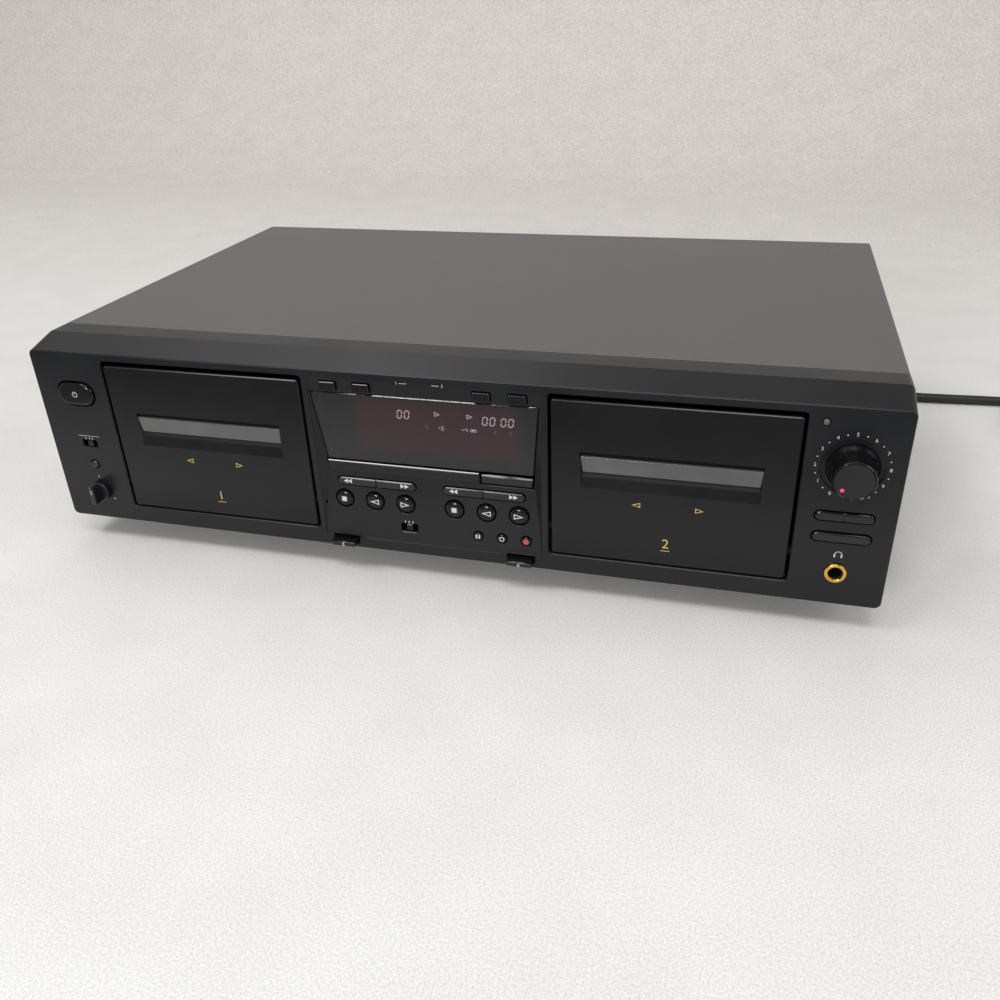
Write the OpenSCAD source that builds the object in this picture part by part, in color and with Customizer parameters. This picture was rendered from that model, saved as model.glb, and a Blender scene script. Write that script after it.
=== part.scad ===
// Double cassette deck: a moulded front with two hinged cassette doors, a row of
// keys and knobs, two tape transports, a folded steel case and a mains lead.
// Lengths in millimetres. X runs to the right, Y to the back, Z up from the table.
// Sizes of the front are taken from its face and from its lower edge.

/* [Case] */
// Width of the front panel
case_w = 430; // [424:1:520]
// Height of the case above the lower edge of the front panel
case_h = 102; // [101:0.5:130]
// Depth from the front face to the back of the cover
case_d = 267.5; // [220:0.5:330]
// Room between the table and the front panel
foot_gap = 15; // [8:0.5:25]
// Depth of the front panel moulding
panel_d = 31; // [27:0.5:40]
// Depth of the slanted edge along the top of the front
bevel_d = 17.7; // [10:0.1:22]
// Drop of that slanted edge
bevel_drop = 4.7; // [2:0.1:4.8]
// Radius of the corners of the front
corner_r = 3; // [1:0.5:5]
// Thickness of the front wall
front_wall = 3; // [2.6:0.1:3.4]
// Thickness of the other walls of the front panel
panel_skin = 2.5; // [2:0.1:3]
// Thickness of the steel sheet
sheet = 1; // [0.7:0.1:1.2]
// Radius of the feet
foot_r = 15; // [9:0.5:18]
// Distance from a foot to the side of the case
foot_side = 45; // [25:1:70]
// Distance from the feet to the front and to the back
foot_end = 52; // [50:1:70]

/* [Doors] */
// Distance from the middle of the case to the middle of a deck
deck_x = 117; // [116:0.5:122]
// Width of a door opening
opening_w = 112.4; // [111:0.2:113]
// Height of a door opening
opening_h = 84; // [83:0.5:84.5]
// Height of the lower edge of a door opening
opening_z = 9.5; // [9:0.5:10.5]
// Gap beside a door
door_side_gap = 1.5; // [1:0.1:2]
// Gap above a door
door_top_gap = 2.5; // [1.5:0.1:3]
// Gap below a door
door_foot_gap = 1.1; // [0.9:0.1:1.6]
// Thickness of a door
door_t = 2.6; // [2:0.1:3]
// Radius of the door and opening corners
door_r = 1.5; // [0.5:0.1:3]
// Depth of the door pivot behind the face
pivot_y = 3.5; // [3:0.1:4]
// Height of the door pivot above the lower edge of the door
pivot_up = 14; // [12:0.5:16]
// Radius of a pivot pin
pivot_r = 2; // [1.2:0.1:2.2]
// Width of the folded groove of a door window
window_w = 81.6; // [60:0.2:86]
// Height of that groove
window_h = 17.3; // [14:0.1:20]
// Height of its lower edge
window_z = 48.1; // [46:0.1:50]
// Depth of its fold
window_d = 1.3; // [0.8:0.1:1.6]
// How far the fold is shorter than the groove at each end
window_side = 0.9; // [0.3:0.1:1.5]
// Rise of the slanted lip from the lower edge to the fold
lip_rise = 7.1; // [5:0.1:8]
// Slot above the pane
pane_gap = 1.6; // [0.8:0.1:2]
// Thickness of the pane
pane_t = 1.5; // [1:0.1:2]

/* [Tape transport] */
// Width of a cassette
cassette_w = 100.4; // [100:0.1:101]
// Room for the thickness of a cassette
cassette_t = 12.2; // [11:0.1:13]
// Distance between the two reels of a cassette
hub_spacing = 42.5; // [40:0.5:44]
// Height of the reels
hub_z = 54; // [50:0.5:58]
// Distance between the two capstans
capstan_spacing = 48; // [46:0.5:50]
// Height of the capstans
capstan_z = 34.6; // [33:0.2:37]
// Radius of a capstan
capstan_r = 1; // [0.8:0.1:1.5]
// Thickness of a flywheel
flywheel_t = 8; // [5:0.5:9]
// Depth of the transport plate behind the face
plate_y = 28; // [27:0.5:32]
// Thickness of the transport plates
plate_t = 1.6; // [1:0.1:2]
// Travel of the head carriage
head_lift = 5; // [3:0.5:6]
// Thickness of a drive belt
belt_t = 1; // [0.6:0.1:1.4]
// Radius of a drive motor
motor_r = 16; // [12:0.5:18]
// Length of a drive motor
motor_l = 25; // [20:0.5:32]

/* [Console] */
// Width of the sunk control field between the doors
console_w = 115.2; // [114:0.2:116.4]
// Height of the lower edge of the control field
console_z = 6.3; // [6:0.1:7]
// Depth of the control field at its fold, below the display
console_d = 4.2; // [3:0.1:4.5]
// Depth of the step round the control field
console_step = 0.35; // [0.2:0.05:0.6]
// How far the fold is shorter than the field at each end
console_side = 4.2; // [3.6:0.1:4.3]
// Radius of the corners of the field
console_r = 2; // [1:0.5:4]
// Thickness of its wall
console_wall = 3.3; // [2.5:0.1:4]
// Height of the ledge below the display
ledge_z = 47.7; // [46:0.1:49]
// Height of the ledge bar and of the dubbing key
ledge_h = 5.1; // [4:0.1:6]
// Gap between the ledge and the display window
ledge_gap = 1.5; // [1:0.1:2]
// Height at which the slanted display field reaches the face
slope_z = 94; // [93:0.1:94.5]
// Width of the display window along its lower edge
lens_foot_w = 106.2; // [96:0.2:108]
// Width of the display window along its upper edge
lens_top_w = 113.6; // [100:0.2:113.8]
// Height of the display window
lens_h = 37; // [30:0.5:38]
// Thickness of the display window
lens_t = 2.4; // [1.5:0.1:2.6]

/* [Keys] */
// Gap around a key
key_gap = 0.4; // [0.35:0.05:0.6]
// Travel of a key
key_travel = 1; // [0.6:0.1:1.4]
// Diameter of the transport keys
round_d = 8.8; // [7.5:0.1:9.4]
// Gap around a transport key
round_gap = 0.9; // [0.6:0.1:1.1]
// Spacing of the transport keys
round_step = 16.5; // [15:0.05:17]
// Distance from the middle of the case to the middle transport key
round_x = 29.4; // [28:0.1:30.5]
// Height of the transport keys
round_z = 27.5; // [26:0.1:28]
// Diameter of the pause and record keys
small_d = 4.8; // [4:0.1:5.6]
// Gap around a pause or record key
small_gap = 0.6; // [0.4:0.1:0.8]
// Place of the pause key
small_x = 24.9; // [23:0.1:26]
// Spacing of the pause and record keys
small_step = 12.3; // [10:0.1:12.6]
// Height of the pause and record keys
small_z = 14.4; // [13.5:0.1:15]
// Length of a track search rocker
search_w = 41.8; // [36:0.1:42]
// Height of a track search rocker
search_h = 4.3; // [3.5:0.1:4.6]
// Distance from the middle of the case to a track search rocker
search_x = 28; // [27:0.1:29]
// Height above the panel edge of the track search rockers
search_z = 37.2; // [36.8:0.1:37.4]
// Width of a counter key
counter_w = 8.6; // [6:0.1:9]
// Height of a counter key
counter_h = 4.2; // [3:0.1:4.4]
// Places of the counter keys on either side of the middle
counter_x = [29.7, 46.9];
// Height of the row of counter keys
counter_z = 89.5; // [89.2:0.1:90]
// Left edge of the dubbing key
dubbing_x = 26.6; // [10:0.1:40]
// Width of the power button
power_w = 21.2; // [16:0.1:22]
// Height of the power button
power_h = 12.4; // [9:0.1:13]
// Height of the middle of the power button
power_z = 74.6; // [70:0.1:78]
// Travel of the power button
power_travel = 2.5; // [1.5:0.1:3]
// Width of a pill key on the right
pill_w = 24.8; // [20:0.1:25]
// Height of a pill key on the right
pill_h = 4.6; // [4:0.1:5]
// Height of the fade and level rocker
fade_z = 45.7; // [44.5:0.1:47]
// Height of the start key for copying both decks
synchro_z = 35.2; // [34:0.1:36]
// Width of an eject tab
eject_w = 13; // [10:0.1:14]
// Distance from the middle of the case to an eject tab
eject_x = 46.7; // [45:0.1:48]
// Height of the upper side of an eject tab
eject_z = 5.5; // [5.3:0.1:5.7]
// Thickness of an eject tab
eject_t = 2.8; // [2.2:0.1:2.8]
// How far an eject tab stands out of the face
eject_out = 5.2; // [4:0.1:7]
// Travel of an eject tab
eject_travel = 3; // [2:0.1:3.5]

/* [Switches and knobs] */
// Distance from the left side to the left column of controls
left_inset = 23.2; // [22:0.1:24]
// Distance from the right side to the right column of controls
right_inset = 21.7; // [21:0.1:23]
// Length of a switch slot
slot_w = 8.8; // [8:0.1:10]
// Height of a switch slot
slot_h = 4.4; // [3.5:0.1:5]
// Width of the slider of a switch
slider_w = 3.4; // [2.5:0.1:4]
// Travel of a slider either way
slider_travel = 2.2; // [1.5:0.1:2.3]
// Height of the direction switch
direction_z = 45.6; // [44:0.1:48]
// Place of the noise switch
noise_x = -11.6; // [-16:0.1:-11]
// Height of the noise switch
noise_z = 14.4; // [13:0.1:15]
// Diameter of the pitch switch
pitch_switch_d = 4.8; // [4:0.1:6]
// Height of the pitch switch
pitch_switch_z = 33.5; // [32:0.1:35]
// Radius of the pitch knob
pitch_r = 5.6; // [4:0.1:7]
// Height of the pitch knob
pitch_z = 17.5; // [16:0.1:19]
// How far the grip of the pitch knob stands out
pitch_out = 9; // [6:0.5:12]
// Radius of the level knob at its face
level_r = 9; // [7:0.1:10]
// Radius of the level knob at its foot
level_foot_r = 11; // [8:0.1:12]
// Radius of the dish around the level knob
level_dish_r = 13.6; // [13:0.1:14]
// Depth of that dish
level_dish_d = 1.5; // [0.5:0.1:1.6]
// Height of the level knob
level_z = 70; // [68:0.1:74]
// How far the level knob stands out
level_out = 14; // [10:0.5:18]
// Radius of the level shaft
level_shaft_r = 3; // [2:0.1:3.2]
// Radius of the lamp
lamp_r = 1.2; // [0.8:0.1:1.5]
// Height of the lamp
lamp_z = 90; // [88:0.1:91]
// Distance from the lamp to the right column of controls
lamp_side = 13; // [12:0.1:13.4]

/* [Sockets] */
// Radius of the bore of the headphone socket
phones_bore_r = 3.2; // [3.18:0.01:3.3]
// Radius of the ring of the headphone socket
phones_ring_r = 4.85; // [4.6:0.05:5.5]
// Height of the headphone socket
phones_z = 17; // [15:0.1:18]
// Depth of the headphone socket
phones_d = 30; // [26:0.5:34]
// Outer radius of a line jack
jack_r = 4.15; // [4.1:0.01:4.2]
// How far a line jack stands out of the back
jack_out = 9.5; // [8:0.1:11]
// Spacing of the line jacks
jack_step = 14; // [13:0.5:16]
// Place of the line jacks
jack_x = -140; // [-170:1:-120]
// Height of the lower row of line jacks
jack_z = 26; // [20:1:40]

/* [Mains lead] */
// Diameter of the lead
cord_d = 6.4; // [5:0.1:7]
// Length of the strain relief
relief_l = 28; // [20:1:28]
// Place of the strain relief
relief_x = 100; // [60:1:140]
// Height of the lead where it leaves the case, above the table
relief_z = 35; // [30:1:40]
// Radius of the innermost turn of the coil
coil_r = 28; // [26:0.5:30]
// Turns in each of the two layers of the coil
coil_turns = 3; // [2:1:4]
// Gap between the turns
coil_gap = 0.5; // [0.45:0.05:0.8]
// Width of the plug
plug_w = 26; // [22:0.5:30]
// Length of the body of the plug
plug_l = 34; // [28:0.5:40]
// Radius of a plug pin
plug_pin_r = 2; // [1.8:0.1:2.4]
// Spacing of the plug pins
plug_pin_step = 18.6; // [15:0.1:19]

/* [Hidden] */
$fn = 48;

// Colours
panel_black = "#2b2b2c";
steel_black = "#3a3b3d";
gloss_black = "#17171a";
zinc = "#a9adb0";
steel = "#c4c6c8";
board_green = "#2f5a3a";
brass = "#c9a24d";
smoke = "#3a2f35";
pane_grey = "#9a9c9e";
rubber = "#1d1d1e";
ivory = "#e4e2dc";

// Clearances and small sizes that several pieces share
cut = 1;
hair = 0.1;
seat_gap = 0.3;
run_gap = 0.06;
flange_t = 1.2;
flange_lip = 0.8;
stem_r = 1.5;
board_t = 1.6;
contact_gap = 0.3;
screw_r = 1.9;
screw_gap = 0.15;
screw_head_r = 3.4;
screw_head_t = 1.8;
cover_inset = 0.5;
cover_fold_r = 2;
chassis_t = 1.2;

// The origin lies on the table, below the middle of the case, knobs and jacks
front_y = (level_out - case_d - jack_out) / 2;
face_h = case_h - bevel_drop;
left_x = left_inset - case_w / 2;
right_x = case_w / 2 - right_inset;
console_back = console_d + console_wall;
board_y = console_back + 7.5;
slope_tilt = atan((console_d - console_step) / (slope_z - ledge_z));
cover_w = case_w - 2 * cover_inset;
chassis_z = panel_skin;
rear_y = case_d - 2 * sheet - 2 * seat_gap;

// Frames: the deck frame has its origin on the face, at the lower edge of the panel
module deck_frame() translate([0, front_y, foot_gap]) children();
// A plane that faces forward: x to the right, y up, z out of the panel
module facing(x, y, z) translate([x, y, z]) rotate([90, 0, 0]) children();
// An outline of depth and height, swept along the width
module along_x(width) rotate([90, 0, 90]) linear_extrude(width, center = true) children();
// A box between two corners
module span(low, high) translate(low) cube(high - low);

// Outlines
module pill(w, h) {
    square([w - h, h], center = true);
    for (side = [-1, 1]) translate([side * (w - h) / 2, 0]) circle(d = h);
}

module tablet(w, h, r) {
    square([w - 2 * r, h], center = true);
    square([w, h - 2 * r], center = true);
    for (x = [-1, 1], y = [-1, 1])
        translate([x * (w / 2 - r), y * (h / 2 - r)]) circle(r);
}

// An outline with a flat foot and two rounded upper corners
module arch(w, low, high, r) {
    translate([-w / 2, low]) square([w, high - low - r]);
    translate([r - w / 2, low]) square([w - 2 * r, high - low]);
    for (x = [-1, 1]) translate([x * (w / 2 - r), high - r]) circle(r);
}

// Doors
door_w = opening_w - 2 * door_side_gap;
door_z = opening_z + door_foot_gap;
door_h = opening_h - door_foot_gap - door_top_gap;
pivot_z = door_z + pivot_up;
door_flange_t = 1.8;
door_flange_d = 8;
pin_end = opening_w / 2 + 3.6;
ear_x = opening_w / 2 + 1;
ear_t = 2.8;
ear_r = 4.5;
box_wall = 2;
box_back = 7;
fold_z = window_z + lip_rise;
pane_tilt = atan(window_d / (window_h - lip_rise));
pane_rise = window_d / sin(pane_tilt);
pane_foot = 0.4;
pane_seat = 1.2;
holder_y = box_back + seat_gap;
holder_t = 1;
holder_z = 24;
holder_top = 86;
holder_strip = 9;
holder_lip = 5;
holder_shelf = 15;
holder_bridge_z = window_z + window_h + box_wall + 1.2;
holder_bridge_h = 4;
holder_half = cassette_w / 2 + 0.7 + holder_t;
holder_back = holder_y + holder_t + cassette_t + holder_t;
holder_post_r = 3;
holder_post_x = holder_half - holder_strip / 2;
holder_post_z = [32, 78];

module at_deck(side) deck_frame() translate([side * deck_x, 0, 0]) children();

// The groove is folded: its upper side carries the pane, its lower side is the lip
module window_cut() hull() {
    facing(0, 0, window_z + window_h / 2) linear_extrude(cut) square([window_w, window_h], center = true);
    span([window_side - window_w / 2, window_d - hair, fold_z - hair],
         [window_w / 2 - window_side, window_d, fold_z + hair]);
}

// The plane of the pane: x to the right, y up from the fold, z out of it
module on_pane() translate([0, window_d, fold_z]) rotate([90 + pane_tilt, 0, 0]) children();

module pane_outline(grow, top) {
    foot = window_w / 2 - window_side + grow;
    head = foot + window_side * top / pane_rise;
    polygon([[-foot, pane_foot - grow], [foot, pane_foot - grow], [head, top + grow], [-head, top + grow]]);
}

module door(side) {
    box_foot = window_z - box_wall;
    box_top = window_z + window_h + box_wall;
    box_half = window_w / 2 + box_wall;
    flange_x = door_w / 2 - door_flange_t;
    color(panel_black) at_deck(side) difference() {
        union() {
            facing(0, door_t, door_z + door_h / 2) linear_extrude(door_t)
                tablet(door_w, door_h, door_r);
            span([-box_half, door_t - cut, box_foot], [box_half, box_back, box_top]);
            for (x = [-1, 1]) {
                translate([x * (flange_x + door_flange_t / 2), door_flange_d / 2, door_z + door_h / 2])
                    cube([door_flange_t, door_flange_d - cut, door_h - 2 * door_r], center = true);
                translate([x * flange_x, pivot_y, pivot_z]) rotate([0, x * 90, 0])
                    cylinder(r = pivot_r, h = pin_end - flange_x);
                for (z = holder_post_z)
                    facing(x * holder_post_x, holder_y, z)
                        cylinder(r = holder_post_r, h = holder_y - door_t + cut / 2);
            }
        }
        window_cut();
        on_pane() translate([0, 0, -pane_t - seat_gap / 2]) linear_extrude(pane_t + cut)
            pane_outline(seat_gap / 2, pane_rise + seat_gap);
        on_pane() translate([0, 0, -2 * box_back]) linear_extrude(2 * box_back)
            pane_outline(-pane_seat, pane_rise - pane_gap);
    }
}

module door_window(side) {
    color(pane_grey) at_deck(side) on_pane() translate([0, 0, -pane_t]) linear_extrude(pane_t)
        pane_outline(0, pane_rise - pane_gap);
}

// Steel guide behind a door, which takes the cassette between its channels
module cassette_holder(side) {
    color(zinc) at_deck(side) {
        span([-holder_half, holder_y, holder_bridge_z],
             [holder_half, holder_y + holder_t, holder_bridge_z + holder_bridge_h]);
        for (x = [0, 1]) mirror([x, 0, 0]) {
            span([holder_half - holder_strip, holder_y, holder_z],
                 [holder_half, holder_y + holder_t, holder_top]);
            span([holder_half - holder_t, holder_y, holder_z],
                 [holder_half, holder_back, holder_top]);
            span([holder_half - holder_lip, holder_back - holder_t, holder_z],
                 [holder_half, holder_back, holder_top]);
            span([holder_half - holder_shelf, holder_y, holder_z - holder_t],
                 [holder_half, holder_back, holder_z]);
        }
    }
}

// Tape transport
hub_x = hub_spacing / 2;
capstan_x = capstan_spacing / 2;
flywheel_r = capstan_x - belt_t / 2 - seat_gap;
plate_back = plate_y + plate_t;
flywheel_y = plate_back + 4;
bearing_y = flywheel_y + flywheel_t + 3;
plate_half = opening_w / 2 + 7.3;
plate_z = [door_z, door_z + door_h - 1];
post_x = opening_w / 2 + 4.3;
post_r = 2.5;
post_z = [58, 80];
bearing_z = [capstan_z - 12, 84];
bearing_half = capstan_x + 22;
spacer_r = 3;
spacer_places = [[-1, 1], [1, 1]];
foot_spacer = [4, 9];
reel_pin_r = 1.5;
reel_tip_y = holder_y + 3.2;
reel_r = 4.4;
reel_table_r = 9;
reel_table_t = 2;
reel_fin_t = 1.2;
reel_fin_reach = 0.9;
reel_cone = 2;
reel_nose = 1.6;
reel_roof = 1.5;
head_y = [11.6, 20];
carriage_t = 1.2;
carriage_y = plate_y - seat_gap - carriage_t;
carriage_half = 33;
carriage_z = [12, 27.4];
stud_x = 14;
stud_z = 22;
stud_r = 1.5;
stud_gap = 0.1;
stud_head = 0.8;
head_w = 13;
head_h = 10;
roller_r = 5.5;
roller_pin_r = 1.2;
roller_z = capstan_z - capstan_r - roller_r - seat_gap - head_lift;
pulley_r = 4;
pulley_t = 5;
pulley_x = flywheel_r - capstan_x - pulley_r;
pulley_z = 76;
motor_shaft_r = 1;

// Plates, posts, reel pins and bearings of one transport
module transport_frame(side) {
    at_deck(side) {
        difference() {
            span([-plate_half, plate_y, plate_z[0]], [plate_half, plate_back, plate_z[1]]);
            for (x = [-1, 1]) facing(x * capstan_x, plate_back + cut, capstan_z)
                cylinder(r = capstan_r + run_gap, h = plate_t + 2 * cut);
        }
        for (x = [-1, 1]) {
            facing(x * hub_x, plate_y + cut / 2, hub_z)
                cylinder(r = reel_pin_r, h = plate_y - reel_tip_y - reel_cone + cut / 2);
            facing(x * stud_x, plate_y + cut / 2, stud_z)
                cylinder(r = stud_r, h = carriage_t + 2 * seat_gap + stud_head + cut / 2);
            facing(x * stud_x, carriage_y - seat_gap, stud_z)
                cylinder(r = stud_r + stud_head, h = stud_head);
        }
        difference() {
            span([-bearing_half, bearing_y, bearing_z[0]],
                 [bearing_half, bearing_y + plate_t, bearing_z[1]]);
            for (x = [-1, 1]) facing(x * capstan_x, bearing_y + plate_t + cut, capstan_z)
                cylinder(r = capstan_r + run_gap, h = plate_t + 2 * cut);
            facing(pulley_x, bearing_y + plate_t + cut, pulley_z)
                cylinder(r = pulley_r + 2, h = plate_t + 2 * cut);
        }
        for (place = spacer_places)
            facing(place[0] * (bearing_half - spacer_r - 1), bearing_y + cut / 2, bearing_z[1] - spacer_r - 1)
                cylinder(r = spacer_r, h = bearing_y - plate_back + cut);
        for (x = [-1, 1])
            facing(x * (bearing_half - foot_spacer[0]), bearing_y + cut / 2, bearing_z[0] - foot_spacer[1])
                cylinder(r = spacer_r, h = bearing_y - plate_back + cut);
    }
}

module transport_frames() color(zinc) for (side = [-1, 1]) transport_frame(side);

module drive_motors() {
    body_y = bearing_y + plate_t;
    color(steel) for (side = [-1, 1]) at_deck(side) {
        facing(pulley_x, body_y + motor_l, pulley_z) cylinder(r = motor_r, h = motor_l);
        facing(pulley_x, body_y + cut, pulley_z)
            cylinder(r = motor_shaft_r, h = body_y - flywheel_y + cut);
        facing(pulley_x, flywheel_y + flywheel_t / 2 + pulley_t / 2, pulley_z)
            cylinder(r = pulley_r - seat_gap / 2, h = pulley_t);
    }
}

// A belt runs round the motor pulley and the left flywheel, and between the two flywheels
module belt_loop(grow) {
    hull() {
        translate([-capstan_x, capstan_z]) circle(flywheel_r + grow);
        translate([pulley_x, pulley_z]) circle(pulley_r + grow);
    }
}

module drive_belts() {
    belt_w = 3;
    color(rubber) for (side = [-1, 1]) at_deck(side)
        facing(0, flywheel_y + flywheel_t / 2 + belt_w / 2, 0) linear_extrude(belt_w) difference() {
            belt_loop(seat_gap + belt_t);
            belt_loop(seat_gap);
        }
}

module reel(side, x) {
    table_y = plate_y - seat_gap;
    color(ivory) at_deck(side) difference() {
        union() {
            facing(x * hub_x, table_y, hub_z) cylinder(r = reel_table_r, h = reel_table_t);
            facing(x * hub_x, table_y, hub_z) cylinder(r = reel_r, h = table_y - reel_tip_y - reel_cone);
            facing(x * hub_x, reel_tip_y + reel_cone, hub_z)
                cylinder(r1 = reel_r, r2 = reel_r - reel_nose, h = reel_cone);
            for (turn = [0 : 2]) facing(x * hub_x, table_y, hub_z) rotate(turn * 120)
                translate([reel_r - cut, -reel_fin_t / 2, 0])
                    cube([reel_fin_reach + cut, reel_fin_t, table_y - reel_tip_y - 2 * reel_cone]);
        }
        facing(x * hub_x, table_y + cut, hub_z)
            cylinder(r = reel_pin_r + run_gap, h = table_y - reel_tip_y - reel_roof + cut);
    }
}

module flywheel(side, x) {
    color(steel) at_deck(side) {
        facing(x * capstan_x, flywheel_y + flywheel_t, capstan_z) cylinder(r = flywheel_r, h = flywheel_t);
        facing(x * capstan_x, bearing_y + plate_t, capstan_z)
            cylinder(r = capstan_r, h = bearing_y + plate_t - head_y[0] - cut);
    }
}

// Plate with the tape head and two pinch rollers, which lifts to the cassette
module head_carriage(side) {
    color(steel) at_deck(side) {
        difference() {
            span([-carriage_half, carriage_y, carriage_z[0]],
                 [carriage_half, carriage_y + carriage_t, carriage_z[1]]);
            for (x = [-1, 1])
                facing(x * stud_x, carriage_y + carriage_t + cut, stud_z - head_lift / 2)
                    linear_extrude(carriage_t + 2 * cut) rotate(90)
                        pill(head_lift + 2 * (stud_r + stud_gap), 2 * (stud_r + stud_gap));
        }
        span([-head_w / 2, head_y[0], carriage_z[1] - head_h],
             [head_w / 2, carriage_y + cut / 2, carriage_z[1]]);
        for (x = [-1, 1]) {
            facing(x * capstan_x, head_y[1], roller_z)
                cylinder(r = roller_r, h = head_y[1] - head_y[0]);
            facing(x * capstan_x, carriage_y + cut / 2, roller_z)
                cylinder(r = roller_pin_r, h = carriage_y + cut / 2 - head_y[1] + cut);
        }
    }
}

// Front panel
lens_foot = ledge_gap - hair;
lens_proud = 0.3;
lens_frame = 2.5;
ledge_proud = 0.8;
groove_d = 2;
socket_gap = 0.2;
bushing_r = 4.5;
pitch_bushing_r = 3.2;
pitch_shaft_r = 2;
board_posts = [[0, 89.5], [0, 15], [-36, 14]];
side_posts_left = [57, 26];
side_posts_right = [56, 28];
side_post_in = 10.5;

// Depth of the lower part of the field at a height
function field_y(z) = console_step + (console_d - console_step) * (z - console_z) / (ledge_z - console_z);

// The slanted display field: x to the right, y up the slope, z out of it
module on_slope() translate([0, console_d, ledge_z]) rotate([90 + slope_tilt, 0, 0]) children();

module lens_outline(grow) {
    polygon([
        [-lens_foot_w / 2 - grow, lens_foot - grow], [lens_foot_w / 2 + grow, lens_foot - grow],
        [lens_top_w / 2 + grow, lens_foot + lens_h + grow],
        [-lens_top_w / 2 - grow, lens_foot + lens_h + grow]
    ]);
}

module panel_shell() {
    difference() {
        hull() {
            facing(0, hair, face_h / 2) linear_extrude(hair) tablet(case_w, face_h, corner_r);
            facing(0, panel_d, case_h / 2) linear_extrude(panel_d - bevel_d) tablet(case_w, case_h, corner_r);
        }
        along_x(case_w - 2 * panel_skin) polygon([
            [front_wall, panel_skin], [front_wall, face_h - panel_skin],
            [bevel_d, case_h - panel_skin], [panel_d + cut, case_h - panel_skin],
            [panel_d + cut, panel_skin]
        ]);
    }
    // Lip that carries the front edge of the cover
    lip_d = 8;
    span([-case_w / 2 + 2 * panel_skin, panel_d - lip_d / 2, case_h - panel_skin - 0.5],
         [case_w / 2 - 2 * panel_skin, panel_d + lip_d, case_h - sheet - seat_gap / 3]);
}

module hinge_ears() {
    for (side = [-1, 1], x = [-1, 1]) translate([side * deck_x + x * (ear_x + ear_t / 2), 0, pivot_z]) {
        intersection() {
            rotate([0, 90, 0]) translate([0, pivot_y, 0]) cylinder(r = ear_r, h = ear_t, center = true);
            // The ears stay behind the face
            span([-ear_t, hair, -2 * ear_r], [ear_t, pivot_y + 2 * ear_r, 2 * ear_r]);
        }
        translate([0, (pivot_y + cut) / 2, 0]) cube([ear_t, pivot_y - cut, 2 * ear_r], center = true);
    }
}

// Holes for the keys of the sunk field; each takes the outline of its key and the gap
module console_hole(x, z) {
    facing(x, console_back + cut, z) linear_extrude(console_back + 2 * cut) children();
}

module front_hole(x, z) {
    facing(x, front_wall + cut, z) linear_extrude(front_wall + 2 * cut) children();
}

module panel_posts() {
    for (side = [-1, 1], x = [-1, 1], z = post_z)
        facing(side * deck_x + x * post_x, plate_y, z)
            cylinder(r = post_r, h = plate_y - front_wall + cut / 2);
    for (place = board_posts)
        facing(place[0], board_y, place[1])
            cylinder(r = post_r, h = board_y - console_back + cut / 2);
    for (z = side_posts_left)
        facing(left_x - side_post_in, board_y, z)
            cylinder(r = post_r, h = board_y - front_wall + cut / 2);
    for (z = side_posts_right)
        facing(right_x + side_post_in, board_y, z)
            cylinder(r = post_r, h = board_y - front_wall + cut / 2);
}

module console_cuts() {
    hull() {
        facing(0, console_step, (console_z + slope_z) / 2) linear_extrude(console_step + cut)
            tablet(console_w, slope_z - console_z, console_r);
        span([console_side - console_w / 2, console_d - hair, ledge_z - hair],
             [console_w / 2 - console_side, console_d, ledge_z + hair]);
    }
    span([-lens_foot_w / 2 - 2 * seat_gap, 0, ledge_z],
         [lens_foot_w / 2 + 2 * seat_gap, console_d + groove_d, ledge_z + ledge_gap]);
    on_slope() translate([0, 0, lens_proud - lens_t - hair]) linear_extrude(lens_t + cut)
        lens_outline(seat_gap);
    on_slope() translate([0, 0, -3 * console_wall]) linear_extrude(4 * console_wall)
        lens_outline(-lens_frame);
    for (x = [-1, 1], place = counter_x)
        console_hole(x * place, counter_z) tablet(counter_w + 2 * key_gap, counter_h + 2 * key_gap, 1);
    for (x = [-1, 1]) {
        console_hole(x * search_x, search_z) pill(search_w + 2 * key_gap, search_h + 2 * key_gap);
        for (step = [-1 : 1])
            console_hole(x * round_x + step * round_step, round_z) circle(d = round_d + 2 * round_gap);
    }
    for (step = [0 : 2])
        console_hole(small_x + step * small_step, small_z) circle(d = small_d + 2 * small_gap);
    console_hole(noise_x, noise_z) tablet(slot_w, slot_h, 1);
    console_hole((dubbing_x + lens_foot_w / 2) / 2, ledge_z - ledge_h / 2)
        square([lens_foot_w / 2 - dubbing_x + 2 * key_gap, ledge_h + 2 * key_gap], center = true);
    // Each eject tab slides through a notch below the field
    for (x = [-1, 1])
        span([x * eject_x - eject_w / 2 - key_gap, -cut, eject_z - eject_t - seat_gap / 2],
             [x * eject_x + eject_w / 2 + key_gap, console_back + cut, console_z + hair]);
}

module side_cuts() {
    front_hole(left_x, power_z) pill(power_w + 4 * key_gap, power_h + 4 * key_gap);
    front_hole(left_x, direction_z) tablet(slot_w, slot_h, 1);
    front_hole(left_x, pitch_switch_z) circle(d = pitch_switch_d + 2 * key_gap);
    front_hole(left_x, pitch_z) circle(pitch_bushing_r + socket_gap);
    front_hole(right_x, level_z) circle(bushing_r + socket_gap);
    facing(right_x, level_dish_d, level_z) cylinder(r = level_dish_r, h = level_dish_d + cut);
    front_hole(right_x, fade_z) pill(pill_w + 2 * key_gap, pill_h + 2 * key_gap);
    front_hole(right_x, synchro_z) pill(pill_w + 2 * key_gap, pill_h + 2 * key_gap);
    front_hole(right_x, phones_z) circle(phones_ring_r - cut / 2 + socket_gap);
    front_hole(right_x - lamp_side, lamp_z) circle(lamp_r + socket_gap);
}

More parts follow.
